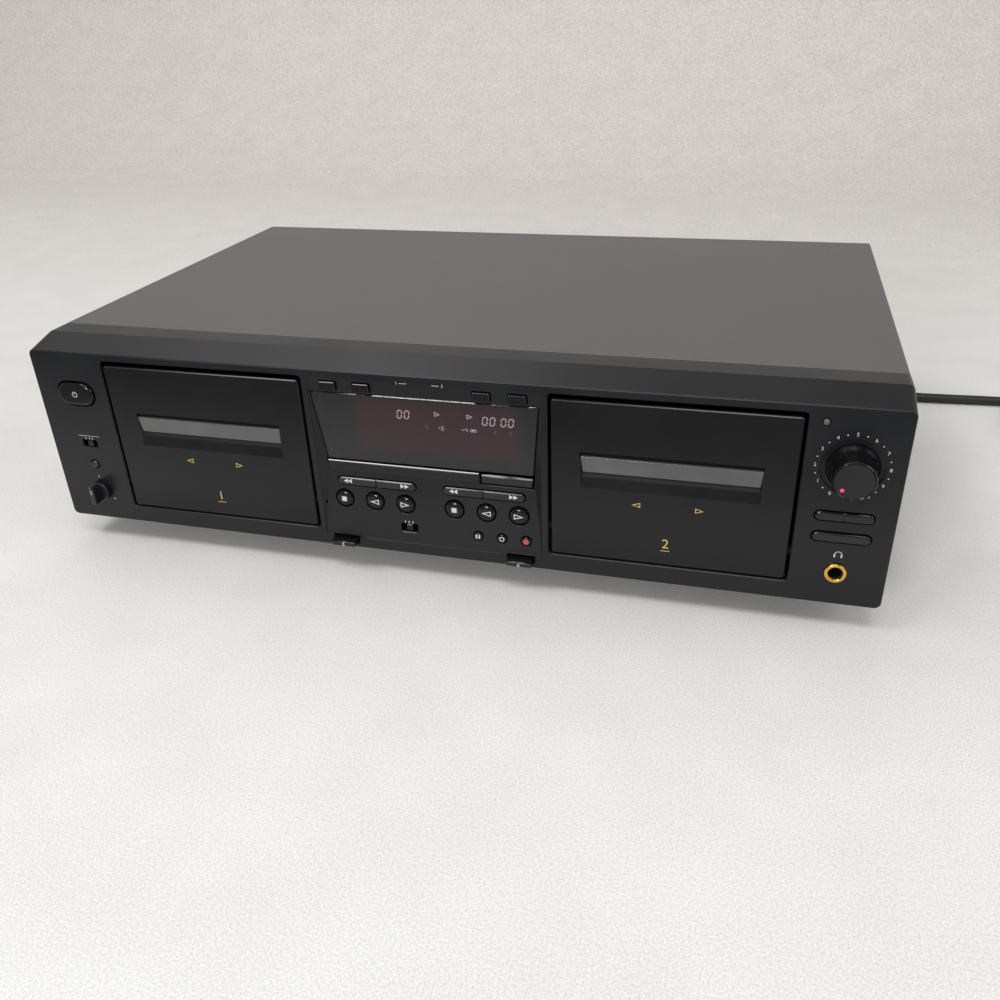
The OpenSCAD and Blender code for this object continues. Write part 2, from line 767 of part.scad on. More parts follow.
module front_panel() {
    color(panel_black) deck_frame() {
        difference() {
            union() {
                panel_shell();
                span([-console_w / 2 - 2, cut / 2, panel_skin / 2],
                     [console_w / 2 + 2, console_back, face_h - panel_skin]);
                hinge_ears();
                panel_posts();
            }
            for (side = [-1, 1]) {
                facing(side * deck_x, console_back + cut, opening_z + opening_h / 2)
                    linear_extrude(console_back + 2 * cut) tablet(opening_w, opening_h, door_r + 0.5);
                translate([side * deck_x, pivot_y, pivot_z]) rotate([0, 90, 0])
                    cylinder(r = pivot_r + run_gap, h = 2 * (ear_x + ear_t + cut), center = true);
            }
            console_cuts();
            side_cuts();
        }
        span([-lens_foot_w / 2, console_d - ledge_proud, ledge_z - ledge_h],
             [dubbing_x - 2 * key_gap, console_d + ledge_proud, ledge_z]);
    }
}

module display_window() {
    color(smoke) deck_frame() on_slope() translate([0, 0, lens_proud - lens_t])
        linear_extrude(lens_t) lens_outline(0);
}

// Boards behind the front, with their switches, controls, display tube and lamp
tube_x = 7;
tube_w = 88;
tube_z = 70;
tube_h = 28;
tube_t = 4;
switch_w = 6;
switch_t = 2;
board_half = 49.5;
board_z = [8, 93];
left_board = [[-14.5, 9], [10.5, 84]];
right_board = [[-11.5, 26], [14.5, 92]];
counter_switch = 0.98;
rocker_switch_in = 5;
switch_up = 1;
small_switch_side = 0.5;
level_body_r = 8;
pitch_body_r = 5;
pitch_bushing_start = 0.5;
shaft_room = 2;
lamp_room = 5;
lamp_tip = 0.4;
lamp_holder = [2, 5, 6];

module tact_switch(x, z) {
    span([x - switch_w / 2, board_y - switch_t, z - switch_w / 2],
         [x + switch_w / 2, board_y, z + switch_w / 2]);
}

// A rotary control: threaded bushing in the front wall, body behind it, bore for the shaft
module rotary_control(x, z, bushing, body, bore, start) {
    difference() {
        union() {
            facing(x, front_wall + cut, z) cylinder(r = bushing, h = front_wall + cut - start);
            facing(x, board_y, z) cylinder(r = body, h = board_y - front_wall - seat_gap);
        }
        facing(x, board_y - shaft_room, z) cylinder(r = bore + run_gap, h = board_y);
    }
}

module control_board() {
    color(board_green) deck_frame() {
        span([-board_half, board_y, board_z[0]], [board_half, board_y + board_t, board_z[1]]);
        span([left_x + left_board[0][0], board_y, left_board[0][1]],
             [left_x + left_board[1][0], board_y + board_t, left_board[1][1]]);
        span([right_x + right_board[0][0], board_y, right_board[0][1]],
             [right_x + right_board[1][0], board_y + board_t, right_board[1][1]]);
        span([tube_x - tube_w / 2, board_y - switch_t - tube_t, tube_z - tube_h / 2],
             [tube_x + tube_w / 2, board_y, tube_z + tube_h / 2]);
        for (x = [-1, 1]) {
            for (place = counter_x) tact_switch(x * place * counter_switch, counter_z);
            for (step = [-1 : 1]) tact_switch(x * round_x + step * round_step, round_z);
            for (end = [-1, 1])
                tact_switch(x * search_x + end * (search_w / 2 - rocker_switch_in), search_z + switch_up);
        }
        for (step = [0 : 2]) tact_switch(small_x + step * small_step - small_switch_side, small_z);
        tact_switch((dubbing_x + lens_foot_w / 2) / 2, ledge_z - ledge_h / 2 + switch_up);
        for (end = [-1, 1]) tact_switch(right_x + end * (pill_w / 2 - rocker_switch_in), fade_z);
        tact_switch(right_x, synchro_z);
        tact_switch(left_x, pitch_switch_z);
        tact_switch(left_x, power_z);
        rotary_control(right_x, level_z, bushing_r, level_body_r, level_shaft_r, level_dish_d);
        rotary_control(left_x, pitch_z, pitch_bushing_r, pitch_body_r, pitch_shaft_r, pitch_bushing_start);
        // Lamp on its holder
        facing(right_x - lamp_side, board_y - lamp_room, lamp_z)
            cylinder(r = lamp_r, h = board_y - lamp_room + lamp_tip);
        span([right_x - lamp_side - lamp_holder[0], board_y - lamp_holder[2], lamp_z - lamp_holder[0]],
             [right_x - lamp_side + lamp_holder[1], board_y, lamp_z + lamp_holder[0]]);
    }
}

// Keys: a cap through the wall, a flange behind it and a stem to its switch
module key_body(x, z, face, wall_back, reach) {
    flange_y = wall_back + seat_gap;
    facing(x, flange_y + flange_t / 2, z) linear_extrude(flange_y + flange_t / 2 - face) children(0);
    facing(x, flange_y + flange_t, z) linear_extrude(flange_t) children(1);
    facing(x, reach, z) cylinder(r = stem_r, h = reach - flange_y - flange_t / 2);
}

key_reach = board_y - switch_t - key_travel - contact_gap;
round_proud = 1.1;
round_dome = 16;
small_proud = 0.8;
flange_hold = 0.4;
search_proud = 0.9;
counter_face = -0.6;
pill_proud = 0.9;

module domed_key(x, z, d, gap, proud) {
    face = field_y(z) - proud;
    intersection() {
        key_body(x, z, face, console_back, key_reach) {
            circle(d = d);
            circle(d = d + 2 * (gap + flange_hold));
        }
        translate([x, face + round_dome, z]) sphere(round_dome, $fn = 96);
    }
}

module transport_key(side, step) {
    color(gloss_black) deck_frame()
        domed_key(side * round_x + step * round_step, round_z, round_d, round_gap, round_proud);
}

module small_key(step) {
    color(gloss_black) deck_frame()
        domed_key(small_x + step * small_step, small_z, small_d, small_gap, small_proud);
}

module counter_key(x) {
    color(gloss_black) deck_frame() key_body(x, counter_z, counter_face, console_back, key_reach) {
        tablet(counter_w, counter_h, 0.8);
        tablet(counter_w + 2 * flange_lip, counter_h + 2 * flange_lip, 0.8);
    }
}

// A rocker swings about an upright axis in the middle of its wall
rocker_swing = 2.5;
rocker_flange_gap = 1.4;
rocker_notch = 0.5;

module rocker(x, z, w, h, face, wall_back) {
    flange_y = wall_back + rocker_flange_gap;
    difference() {
        union() {
            facing(x, flange_y + flange_t / 2, z) linear_extrude(flange_y + flange_t / 2 - face) pill(w, h);
            facing(x, flange_y + flange_t, z) linear_extrude(flange_t)
                pill(w + flange_lip, h + 2 * flange_lip);
        }
        span([x - rocker_notch / 2, face - cut, z - h], [x + rocker_notch / 2, face + rocker_notch, z + h]);
    }
}

module search_rocker(side) {
    color(gloss_black) deck_frame()
        rocker(side * search_x, search_z, search_w, search_h, field_y(search_z) - search_proud, console_back);
}

module fade_level_rocker() {
    color(gloss_black) deck_frame() rocker(right_x, fade_z, pill_w, pill_h, -pill_proud, front_wall);
}

module synchro_button() {
    color(gloss_black) deck_frame() key_body(right_x, synchro_z, -pill_proud, front_wall, key_reach) {
        pill(pill_w, pill_h);
        pill(pill_w + 2 * flange_lip, pill_h + 2 * flange_lip);
    }
}

module dubbing_button() {
    w = lens_foot_w / 2 - dubbing_x;
    color(panel_black) deck_frame()
        key_body(dubbing_x + w / 2, ledge_z - ledge_h / 2, console_d - ledge_proud, console_back, key_reach) {
            square([w, ledge_h], center = true);
            square([w + flange_lip, ledge_h + flange_lip], center = true);
        }
}

module power_button() {
    power_proud = 1.6;
    color(panel_black) deck_frame()
        key_body(left_x, power_z, -power_proud, front_wall, board_y - switch_t - power_travel - contact_gap) {
            pill(power_w, power_h);
            pill(power_w + 4 * flange_lip, power_h + 4 * flange_lip);
        }
}

module pitch_switch() {
    color(gloss_black) deck_frame() key_body(left_x, pitch_switch_z, -pill_proud, front_wall, key_reach) {
        circle(d = pitch_switch_d);
        circle(d = pitch_switch_d + 2 * flange_lip);
    }
}

module eject_tab(side) {
    stop_y = console_back + seat_gap;
    color(panel_black) deck_frame() {
        span([side * eject_x - eject_w / 2, -eject_out, eject_z - eject_t],
             [side * eject_x + eject_w / 2, stop_y + flange_t, eject_z]);
        span([side * eject_x - eject_w / 2 - flange_lip, stop_y, eject_z - eject_t],
             [side * eject_x + eject_w / 2 + flange_lip, stop_y + flange_t, eject_z + flange_lip]);
    }
}

// Slide switches: a slider in a slot, on a plate behind the wall
slider_sink = 0.5;

module slide_switch(x, z, face, wall_back) {
    plate_at = wall_back + seat_gap;
    color(gloss_black) deck_frame() {
        facing(x, plate_at + flange_t / 2, z) linear_extrude(plate_at + flange_t / 2 - face - slider_sink)
            tablet(slider_w, slot_h - 2 * key_gap, 0.5);
        facing(x, plate_at + flange_t, z) linear_extrude(flange_t)
            square([slot_w - 2 * flange_lip, slot_h + 2 * flange_lip], center = true);
    }
}

// Knobs
shaft_end = 3;

module pitch_knob() {
    disc_out = 3;
    grip_w = 3;
    color(panel_black) deck_frame() {
        facing(left_x, -seat_gap, pitch_z) cylinder(r = pitch_r, h = disc_out - seat_gap);
        facing(left_x, -disc_out + cut / 2, pitch_z) linear_extrude(pitch_out - disc_out + cut / 2)
            tablet(grip_w, 2 * pitch_r - 1.6, 0.6);
        facing(left_x, board_y - shaft_end, pitch_z)
            cylinder(r = pitch_shaft_r, h = board_y - shaft_end + disc_out / 2);
    }
}

module level_knob() {
    foot_y = level_dish_d - seat_gap - hair;
    rim = 0.7;
    color(panel_black) deck_frame() {
        facing(right_x, foot_y, level_z) rotate_extrude() polygon([
            [0, 0], [level_foot_r, 0], [level_foot_r, 3], [level_r + rim, 4.6],
            [level_r, foot_y + level_out - rim], [level_r - rim, foot_y + level_out], [0, foot_y + level_out]
        ]);
        facing(right_x, board_y - shaft_end, level_z)
            cylinder(r = level_shaft_r, h = board_y - shaft_end - foot_y + cut);
    }
}

// Steel case
vent_w = 3;
vent_h = 20;
vent_step = 8;
vent_count = 10;
vent_x = 0;
vent_z = 60;
jack_plate_w = 2 * jack_step + 4;
jack_plate_h = 2 * jack_step + 2;
jack_plate_t = 1.5;
relief_hole = 5;
relief_y = rear_y + sheet;
side_screw_y = [80, 215];
side_screw_z = 12;
rear_screw_x = [0.89, 0.3];
rear_screw_z = case_h - 6;
cover_foot = 2;
cover_skirt = 12;
chassis_half = cover_w / 2 - sheet - seat_gap;
chassis_wall = 18;

module top_cover() {
    start = panel_d + seat_gap;
    color(steel_black) deck_frame() difference() {
        union() {
            facing(0, case_d, 0) linear_extrude(case_d - start) difference() {
                arch(cover_w, cover_foot, case_h, cover_fold_r);
                arch(cover_w - 2 * sheet, cover_foot - cut, case_h - sheet, cover_fold_r - sheet / 2);
            }
            span([-cover_w / 2 + cover_fold_r, case_d - sheet, case_h - cover_skirt],
                 [cover_w / 2 - cover_fold_r, case_d, case_h - sheet / 2]);
        }
        side_screw_places() cylinder(r = screw_r + screw_gap, h = 8 * sheet, center = true);
        rear_screw_places() cylinder(r = screw_r + screw_gap, h = 3 * sheet, center = true);
    }
}

// Places of the case screws, with z along each screw and out of the case
module side_screw_places() {
    for (x = [-1, 1], y = side_screw_y)
        translate([x * cover_w / 2, y, side_screw_z]) rotate([0, x * 90, 0]) children();
}

module rear_screw_places() {
    for (x = [-1, 1], share = rear_screw_x)
        translate([x * share * case_w / 2, case_d, rear_screw_z]) rotate([-90, 0, 0]) children();
}

module case_screw(depth) {
    difference() {
        union() {
            translate([0, 0, hair / 2]) cylinder(r = screw_head_r, h = screw_head_t);
            translate([0, 0, -depth]) cylinder(r = screw_r, h = depth + screw_head_t / 2);
        }
        for (turn = [0, 90]) rotate(turn)
            translate([0, 0, screw_head_t]) cube([2 * screw_r, 0.8, screw_head_t], center = true);
    }
}

module case_screws() {
    color(steel) deck_frame() {
        side_screw_places() case_screw(5);
        rear_screw_places() case_screw(5);
    }
}

module rear_panel() {
    half = cover_w / 2 - sheet - 2 * seat_gap;
    color(steel_black) deck_frame() difference() {
        span([-half, rear_y, chassis_z + chassis_t], [half, rear_y + sheet, case_h - sheet - seat_gap]);
        for (row = [0, 1], column = [-0.5, 0.5])
            facing(jack_x + column * jack_step, case_d, jack_z + row * jack_step)
                cylinder(r = jack_r + seat_gap, h = case_d - rear_y + cut);
        facing(relief_x, case_d, relief_z - foot_gap)
            cylinder(r = relief_hole + seat_gap, h = case_d - rear_y + cut);
        for (i = [0 : vent_count - 1])
            facing(vent_x + (i - (vent_count - 1) / 2) * vent_step, case_d, vent_z)
                linear_extrude(case_d - rear_y + cut) rotate(90) pill(vent_h, vent_w);
        rear_screw_places() cylinder(r = screw_r + screw_gap, h = 12 * sheet, center = true);
    }
}

module bottom_chassis() {
    chassis_front = 14;
    wall_y = [panel_d + 3, rear_y - seat_gap];
    color(zinc) deck_frame() difference() {
        union() {
            span([-case_w / 2 + 2 * panel_skin, chassis_front, chassis_z],
                 [case_w / 2 - 2 * panel_skin, rear_y - seat_gap, chassis_z + chassis_t]);
            span([-chassis_half, wall_y[0], chassis_z], [chassis_half, wall_y[1], chassis_z + chassis_t]);
            span([-chassis_half, rear_y - seat_gap - cut, chassis_z],
                 [chassis_half, rear_y + sheet, chassis_z + chassis_t]);
            for (x = [-1, 1])
                translate([x * (chassis_half - chassis_t / 2), (wall_y[0] + wall_y[1]) / 2,
                           chassis_wall / 2 + chassis_z])
                    cube([chassis_t, wall_y[1] - wall_y[0], chassis_wall], center = true);
        }
        side_screw_places() cylinder(r = screw_r + screw_gap, h = 16 * sheet, center = true);
    }
}

module feet() {
    top_r = foot_r - 2;
    rim = 1.5;
    height = foot_gap + chassis_z;
    pad = 3;
    color(rubber) deck_frame()
        for (x = [-1, 1], y = [foot_end, case_d - foot_end])
            translate([x * (case_w / 2 - foot_side), y, -foot_gap]) rotate_extrude() polygon([
                [0, 0], [foot_r - rim, 0], [foot_r, rim], [foot_r, pad], [top_r, height], [0, height]
            ]);
}

// Main board on pillars, with the mains transformer, capacitors and heat sink
module main_board() {
    low = chassis_z + chassis_t;
    pillar = 6;
    top = low + pillar + board_t;
    front = plate_back + 68;
    back = rear_y - 24;
    half = 150;
    pillar_r = 4;
    transformer_x = [70, 130];
    transformer_in = [66, 10];
    transformer_h = 48;
    capacitor_x = 20;
    capacitor_step = 24;
    capacitor_in = 22;
    capacitor_r = 8;
    capacitor_h = 30;
    sink_x = [-110, -60];
    sink_in = [20, 26];
    sink_h = 34;
    chip_x = [-30, 10];
    chip_in = [18, 50];
    chip_h = 4;
    color(board_green) deck_frame() {
        span([-half, front, low + pillar], [half, back, top]);
        for (x = [-1, 1], y = [front + 2 * pillar_r, back - 2 * pillar_r])
            translate([x * (half - 2 * pillar_r), y, low]) cylinder(r = pillar_r, h = pillar);
        span([transformer_x[0], back - transformer_in[0], top],
             [transformer_x[1], back - transformer_in[1], top + transformer_h]);
        for (i = [0 : 3])
            translate([capacitor_x - i * capacitor_step, back - capacitor_in, top])
                cylinder(r = capacitor_r, h = capacitor_h);
        span([sink_x[0], front + sink_in[0], top], [sink_x[1], front + sink_in[1], top + sink_h]);
        span([chip_x[0], front + chip_in[0], top], [chip_x[1], front + chip_in[1], top + chip_h]);
    }
}

// Sockets
module headphone_jack() {
    ring_out = 1.2;
    barrel_r = phones_ring_r - cut / 2;
    body_half = 7.5;
    body_y = front_wall + hair;
    color(brass) deck_frame() difference() {
        union() {
            facing(right_x, -hair / 2, phones_z) cylinder(r = phones_ring_r, h = ring_out);
            facing(right_x, body_y + cut, phones_z) cylinder(r = barrel_r, h = body_y + 2 * cut);
            span([right_x - body_half, body_y, phones_z - body_half],
                 [right_x + body_half, phones_d + 2, phones_z + body_half]);
        }
        facing(right_x, phones_d, phones_z) cylinder(r = phones_bore_r, h = phones_d + 2 * cut);
    }
}

module line_jacks() {
    hole_r = 1.7;
    barrel_y = case_d + jack_out;
    plate_at = rear_y + sheet + jack_plate_t + hair / 2;
    color(brass) deck_frame() {
        difference() {
            union() {
                for (row = [0, 1], column = [-0.5, 0.5])
                    facing(jack_x + column * jack_step, rear_y - 6, jack_z + row * jack_step)
                        mirror([0, 0, 1]) cylinder(r = jack_r, h = barrel_y - rear_y + 6);
                facing(jack_x, plate_at, jack_z + jack_step / 2)
                    linear_extrude(jack_plate_t) square([jack_plate_w, jack_plate_h], center = true);
                span([jack_x - jack_plate_w / 2, rear_y - 8, jack_z - jack_step / 2],
                     [jack_x + jack_plate_w / 2, rear_y - seat_gap, jack_z + 1.5 * jack_step]);
            }
            for (row = [0, 1], column = [-0.5, 0.5])
                facing(jack_x + column * jack_step, barrel_y + cut, jack_z + row * jack_step)
                    cylinder(r = hole_r, h = jack_out + cut);
        }
    }
}

// Mains lead
cord_r = cord_d / 2;
cord_z = cord_r + 0.1;
coil_pitch = cord_d + coil_gap;
coil_out = coil_r + coil_turns * coil_pitch;
coil_x = 372;
coil_y = 165.7 - coil_out;
coil_rings = 24;
coil_tail = 28;
tube_sides = 10;
coil_sides = 6;
relief_neck = 3.6;

// Route of the free stretch, from the strain relief to the coil
cord_route = [
    [100, 164.1, 35], [100, 172, 35], [101, 181, 34], [104, 190, 31.5], [110, 198, 27.5],
    [119, 204, 22.5], [130, 207, 17], [142, 207, 12], [154, 204.5, 8], [167, 199.5, 5.2],
    [181, 192.5, 3.8], [195, 185, 3.3], [209, 178, 3.3], [223, 171.5, 3.3], [237, 166.5, 3.3],
    [252, 163.5, 3.3], [268, 162.8, 3.3], [286, 163.6, 3.3], [304, 164.7, 3.3], [322, 165.4, 3.3],
    [340, 165.7, 3.3], [352, 165.7, 3.3], [365.6, 165.7, 3.3]
];

// The coil spirals in, climbs one layer where the spiral turns back, and spirals out
coil_half = 360 * coil_turns;
function smooth(t) = t <= 0 ? 0 : t >= 1 ? 1 : t * t * (3 - 2 * t);
function coil_point(turn) =
    let (r = coil_r + coil_pitch * abs(turn - coil_half) / 360,
         z = cord_z + coil_pitch * smooth((turn - coil_half + 90) / 180))
    [coil_x + r * sin(turn), coil_y + r * cos(turn), z];
coil_path = concat(
    [coil_point(0) - [cord_d, 0, 0]],
    [for (i = [0 : 2 * coil_turns * coil_rings]) coil_point(i * 360 / coil_rings)],
    [coil_point(2 * coil_half) + [coil_tail, 0, 0]]
);
coil_least_gap = min([
    for (i = [0 : len(coil_path) - 1], j = [i + coil_rings / 2 : 1 : len(coil_path) - 1])
        norm(coil_path[i] - coil_path[j])
]) - cord_d;
echo(coil_least_gap = coil_least_gap);

// A tube swept along a path, with rings square to it and closed ends
function unit(v) = v / norm(v);
function heading(path, i) = unit(path[min(i + 1, len(path) - 1)] - path[max(i - 1, 0)]);
function end_heading(path, i) =
    i <= 1 ? unit(path[1] - path[0])
    : i >= len(path) - 2 ? unit(path[len(path) - 1] - path[len(path) - 2])
    : heading(path, i);
function ring(path, i, r, sides) =
    let (ahead = end_heading(path, i),
         across = unit(cross(ahead, [0, 0, 1])),
         above = cross(across, ahead))
    [for (k = [0 : sides - 1])
        path[i] + r * (cos((k + 0.5) * 360 / sides) * across + sin((k + 0.5) * 360 / sides) * above)];

module tube(path, r, sides) {
    last = len(path) - 1;
    points = [for (i = [0 : last]) each ring(path, i, r, sides)];
    walls = [
        for (i = [0 : last - 1], k = [0 : sides - 1])
            let (a = i * sides + k, b = i * sides + (k + 1) % sides)
            each [[a, a + sides, b + sides], [a, b + sides, b]]
    ];
    start = [for (k = [1 : sides - 2]) [0, k, k + 1]];
    finish = [for (k = [1 : sides - 2]) [last * sides, last * sides + k + 1, last * sides + k]];
    polyhedron(points, concat(walls, start, finish));
}

module power_cord() color(rubber) tube(cord_route, cord_r, tube_sides);
module power_cord_coil() color(rubber) tube(coil_path, cord_r, coil_sides);

module strain_relief() {
    collar = 8;
    collar_t = 2;
    inner = 6;
    out = relief_l - collar_t;
    start = case_d - relief_y - 0.05;
    color(rubber) deck_frame() translate([relief_x, relief_y + 0.05, relief_z - foot_gap]) rotate([-90, 0, 0])
        rotate_extrude() polygon([
            [0, -inner], [relief_hole, -inner], [relief_hole, 0], [collar, 0], [collar, collar_t],
            [relief_hole + 0.5, collar_t], [cord_r + 0.8, start + out + collar_t], [0, start + out + collar_t]
        ]);
}

module power_plug() {
    neck = 16;
    start = coil_x + coil_tail;
    height = 2 * (coil_point(2 * coil_half)[2] - 0.1);
    pin_l = 19;
    axis_y = coil_y + coil_out;
    color(rubber) translate([start + 0.02, axis_y, height / 2 + 0.1]) {
        rotate([0, 90, 0]) cylinder(r1 = cord_r + 0.8, r2 = 7, h = neck);
        translate([neck, 0, 0]) rotate([90, 0, 90]) linear_extrude(plug_l) tablet(plug_w, height, 6);
        for (side = [-1, 1]) translate([neck + plug_l - cut, side * plug_pin_step / 2, 0])
            rotate([0, 90, 0]) cylinder(r = plug_pin_r, h = pin_l + cut);
    }
}

module direction_switch() slide_switch(left_x, direction_z, 0, front_wall);
module noise_switch() slide_switch(noise_x, noise_z, field_y(noise_z), console_back);

bottom_chassis();
feet();
top_cover();
rear_panel();
front_panel();
case_screws();
display_window();
control_board();
main_board();
transport_frames();
drive_motors();
drive_belts();
headphone_jack();
line_jacks();
strain_relief();
power_cord();
power_cord_coil();
power_plug();
door(-1);  // door_a
door(1);  // door_b
door_window(-1);  // door_window_a
door_window(1);  // door_window_b
cassette_holder(-1);  // cassette_holder_a
cassette_holder(1);  // cassette_holder_b
power_button();
direction_switch();
pitch_switch();
pitch_knob();
counter_key(-counter_x[1]);  // counter_reset_a
counter_key(-counter_x[0]);  // counter_memory_a
counter_key(counter_x[0]);  // counter_reset_b
counter_key(counter_x[1]);  // counter_memory_b
search_rocker(-1);  // search_rocker_a
search_rocker(1);  // search_rocker_b
transport_key(-1, -1);  // stop_a
transport_key(-1, 0);  // reverse_a
transport_key(-1, 1);  // play_a
transport_key(1, -1);  // stop_b
transport_key(1, 0);  // reverse_b
transport_key(1, 1);  // play_b
small_key(0);  // pause_button
small_key(1);  // record_mute_button
small_key(2);  // record_button
noise_switch();
dubbing_button();
eject_tab(-1);  // eject_a
eject_tab(1);  // eject_b
level_knob();
fade_level_rocker();
synchro_button();
reel(-1, -1);  // reel_a_left
reel(-1, 1);  // reel_a_right
reel(1, -1);  // reel_b_left
reel(1, 1);  // reel_b_right
flywheel(-1, -1);  // flywheel_a_left
flywheel(-1, 1);  // flywheel_a_right
flywheel(1, -1);  // flywheel_b_left
flywheel(1, 1);  // flywheel_b_right
head_carriage(-1);  // head_carriage_a
head_carriage(1);  // head_carriage_b
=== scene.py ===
"""Looks of a double cassette deck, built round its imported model.

Sizes are in millimetres and measured, like the front itself, from the middle of the case,
from the face and from the lower edge of the front. Meshes are in metres.
"""
import logging
import math
from dataclasses import dataclass
from enum import Enum
from typing import ClassVar, Dict, Iterable, List, Optional, Sequence, Tuple

import bmesh
import bpy
from mathutils import Matrix, Vector


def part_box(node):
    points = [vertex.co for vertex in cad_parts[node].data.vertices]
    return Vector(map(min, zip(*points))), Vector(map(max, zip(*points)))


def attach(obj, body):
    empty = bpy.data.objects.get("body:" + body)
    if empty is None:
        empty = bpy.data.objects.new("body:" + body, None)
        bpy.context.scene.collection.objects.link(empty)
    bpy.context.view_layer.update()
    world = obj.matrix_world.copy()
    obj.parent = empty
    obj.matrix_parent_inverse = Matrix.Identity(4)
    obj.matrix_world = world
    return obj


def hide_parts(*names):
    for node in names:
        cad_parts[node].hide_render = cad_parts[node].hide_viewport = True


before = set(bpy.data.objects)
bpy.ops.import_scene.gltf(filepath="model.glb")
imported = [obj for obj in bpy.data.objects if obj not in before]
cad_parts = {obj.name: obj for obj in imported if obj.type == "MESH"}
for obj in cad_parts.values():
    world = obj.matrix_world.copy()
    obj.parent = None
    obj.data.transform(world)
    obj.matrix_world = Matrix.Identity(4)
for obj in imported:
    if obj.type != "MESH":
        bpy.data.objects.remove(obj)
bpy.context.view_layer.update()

LOG = logging.getLogger("deck")
MM = 0.001
FACE = Vector((0.0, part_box("door_a")[0].y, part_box("front_panel")[0].z))
ROOT = "deck"

# Places on the front
DECK_X = 117.0
COLUMN_LEFT = -191.8
COLUMN_RIGHT = 193.3
LEVEL_Z = 70.0
PITCH_Z = 17.5
FRONT_HALF = 214.3
FRONT_TOP = 96.8
FRONT_FOOT = 5.0
# The lower control field, which slopes back from its foot to the ledge
CONSOLE_STEP = 0.35
CONSOLE_DEPTH = 4.2
CONSOLE_FOOT = 6.3
CONSOLE_HALF = 58.0
LEDGE_Z = 47.7
FIELD_SLOPE = (CONSOLE_DEPTH - CONSOLE_STEP) / (LEDGE_Z - CONSOLE_FOOT)
FIELD_TILT = -math.degrees(math.atan(FIELD_SLOPE))
# Printed marks: their height over the face and their thickness
INK_LIFT = 0.02
INK_THICK = 0.03
# Eased edges: the least angle, the share of the room beside them that they take, how straight
# a run of edges is, and the length below which an edge is a leftover of the merge
EASE_ANGLE = math.radians(40.0)
EASE_SHARE = 0.4
RUN_COSINE = 0.7
SPECK = 0.15
# Creases: a steep edge, or a slight fold between two faces that are wider than the span
CREASE_ANGLE = math.radians(32.0)
FOLD_ANGLE = math.radians(1.5)
FOLD_SPAN = 2.2
FLAT_ANGLE = math.radians(0.6)
# The angle, in degrees, up to which a new piece's edges are shaded smooth
SMOOTH_TO = 38.0
# Painted shade on the faces behind the front: how fast it takes over from the satin, its matt
# black and its roughness
PAINTED_SHADE_FADE = 0.5
PAINTED_SHADE_BLACK = "#020202"
INNER_ROUGH = 0.9

Pair = Tuple[float, float]
Triple = Tuple[float, float, float]
Tree = bpy.types.NodeTree
Socket = bpy.types.NodeSocket
Wiring = Tuple[dict, Dict[str, Socket]]
Work = bmesh.types.BMesh
Piece = bpy.types.Object

OUTWARD, BACKWARD = Vector((0.0, -1.0, 0.0)), Vector((0.0, 1.0, 0.0))
RIGHTWARD, UPWARD = Vector((1.0, 0.0, 0.0)), Vector((0.0, 0.0, 1.0))
# Turns a flat figure so that its width runs along y and its height along z
SIDEWAYS = Matrix(((0, 0, 1), (1, 0, 0), (0, 1, 0)))
MIDDLE = (0.0, 0.0)


def deck(x: float, y: float, z: float) -> Vector:
    """Turns a place on the front, in millimetres, into one in the model's frame."""
    return Vector((x * MM, FACE.y + y * MM, FACE.z + z * MM))


def facing(x: float, y: float, z: float, tilt: float = 0.0) -> Matrix:
    """Gives the plane of a face that looks forward.

    Args:
        x, y, z: the plane's origin on the front.
        tilt: how far the plane leans back, in degrees.

    Returns:
        A matrix from millimetres, right, up and out of the face, to the model's frame.
    """
    turn = Matrix.Rotation(math.radians(90.0 + tilt), 4, "X")
    return Matrix.Translation(deck(x, y, z)) @ turn @ Matrix.Scale(MM, 4)


def around(radius: float, degrees: float) -> Pair:
    """Gives the place on a dial at an angle from its top, clockwise."""
    angle = math.radians(degrees)
    return radius * math.sin(angle), radius * math.cos(angle)


def field_y(z: float) -> float:
    """Gives the depth of the lower control field at a height."""
    return CONSOLE_STEP + FIELD_SLOPE * (z - CONSOLE_FOOT)


def linear(hex_colour: str) -> Tuple[float, float, float, float]:
    """Turns an sRGB hex value into linear red, green, blue and alpha.

    Args:
        hex_colour: the value, with its hash sign.

    Returns:
        The four linear parts.
    """
    parts = [int(hex_colour[i:i + 2], 16) / 255.0 for i in (1, 3, 5)]
    flat = [c / 12.92 if c <= 0.04045 else ((c + 0.055) / 1.055) ** 2.4 for c in parts]
    return flat[0], flat[1], flat[2], 1.0


def per_mm(size: float) -> float:
    """Gives the texture scale whose features are this many millimetres wide."""
    return 1.0 / (size * MM)


def add(tree: Tree, kind: str, settings: Optional[dict] = None,
        links: Optional[dict] = None) -> Sequence[Socket]:
    """Adds a node with its settings and links.

    Args:
        tree: the node tree to add to.
        kind: the node's type, without the words that all of them start with.
        settings: values by property name, or by input name or number; stops are the places
            and colours of a ramp.
        links: output sockets by input name or number.

    Returns:
        The node's outputs.
    """
    node = tree.nodes.new("ShaderNode" + kind)
    for key, value in (settings or {}).items():
        if key == "stops":
            for element, (place, colour) in zip(node.color_ramp.elements, value):
                element.position, element.color = place, linear(colour)
        elif isinstance(key, str) and hasattr(node, key):
            setattr(node, key, value)
        else:
            node.inputs[key].default_value = value
    for key, socket in (links or {}).items():
        tree.links.new(socket, node.inputs[key])
    return node.outputs


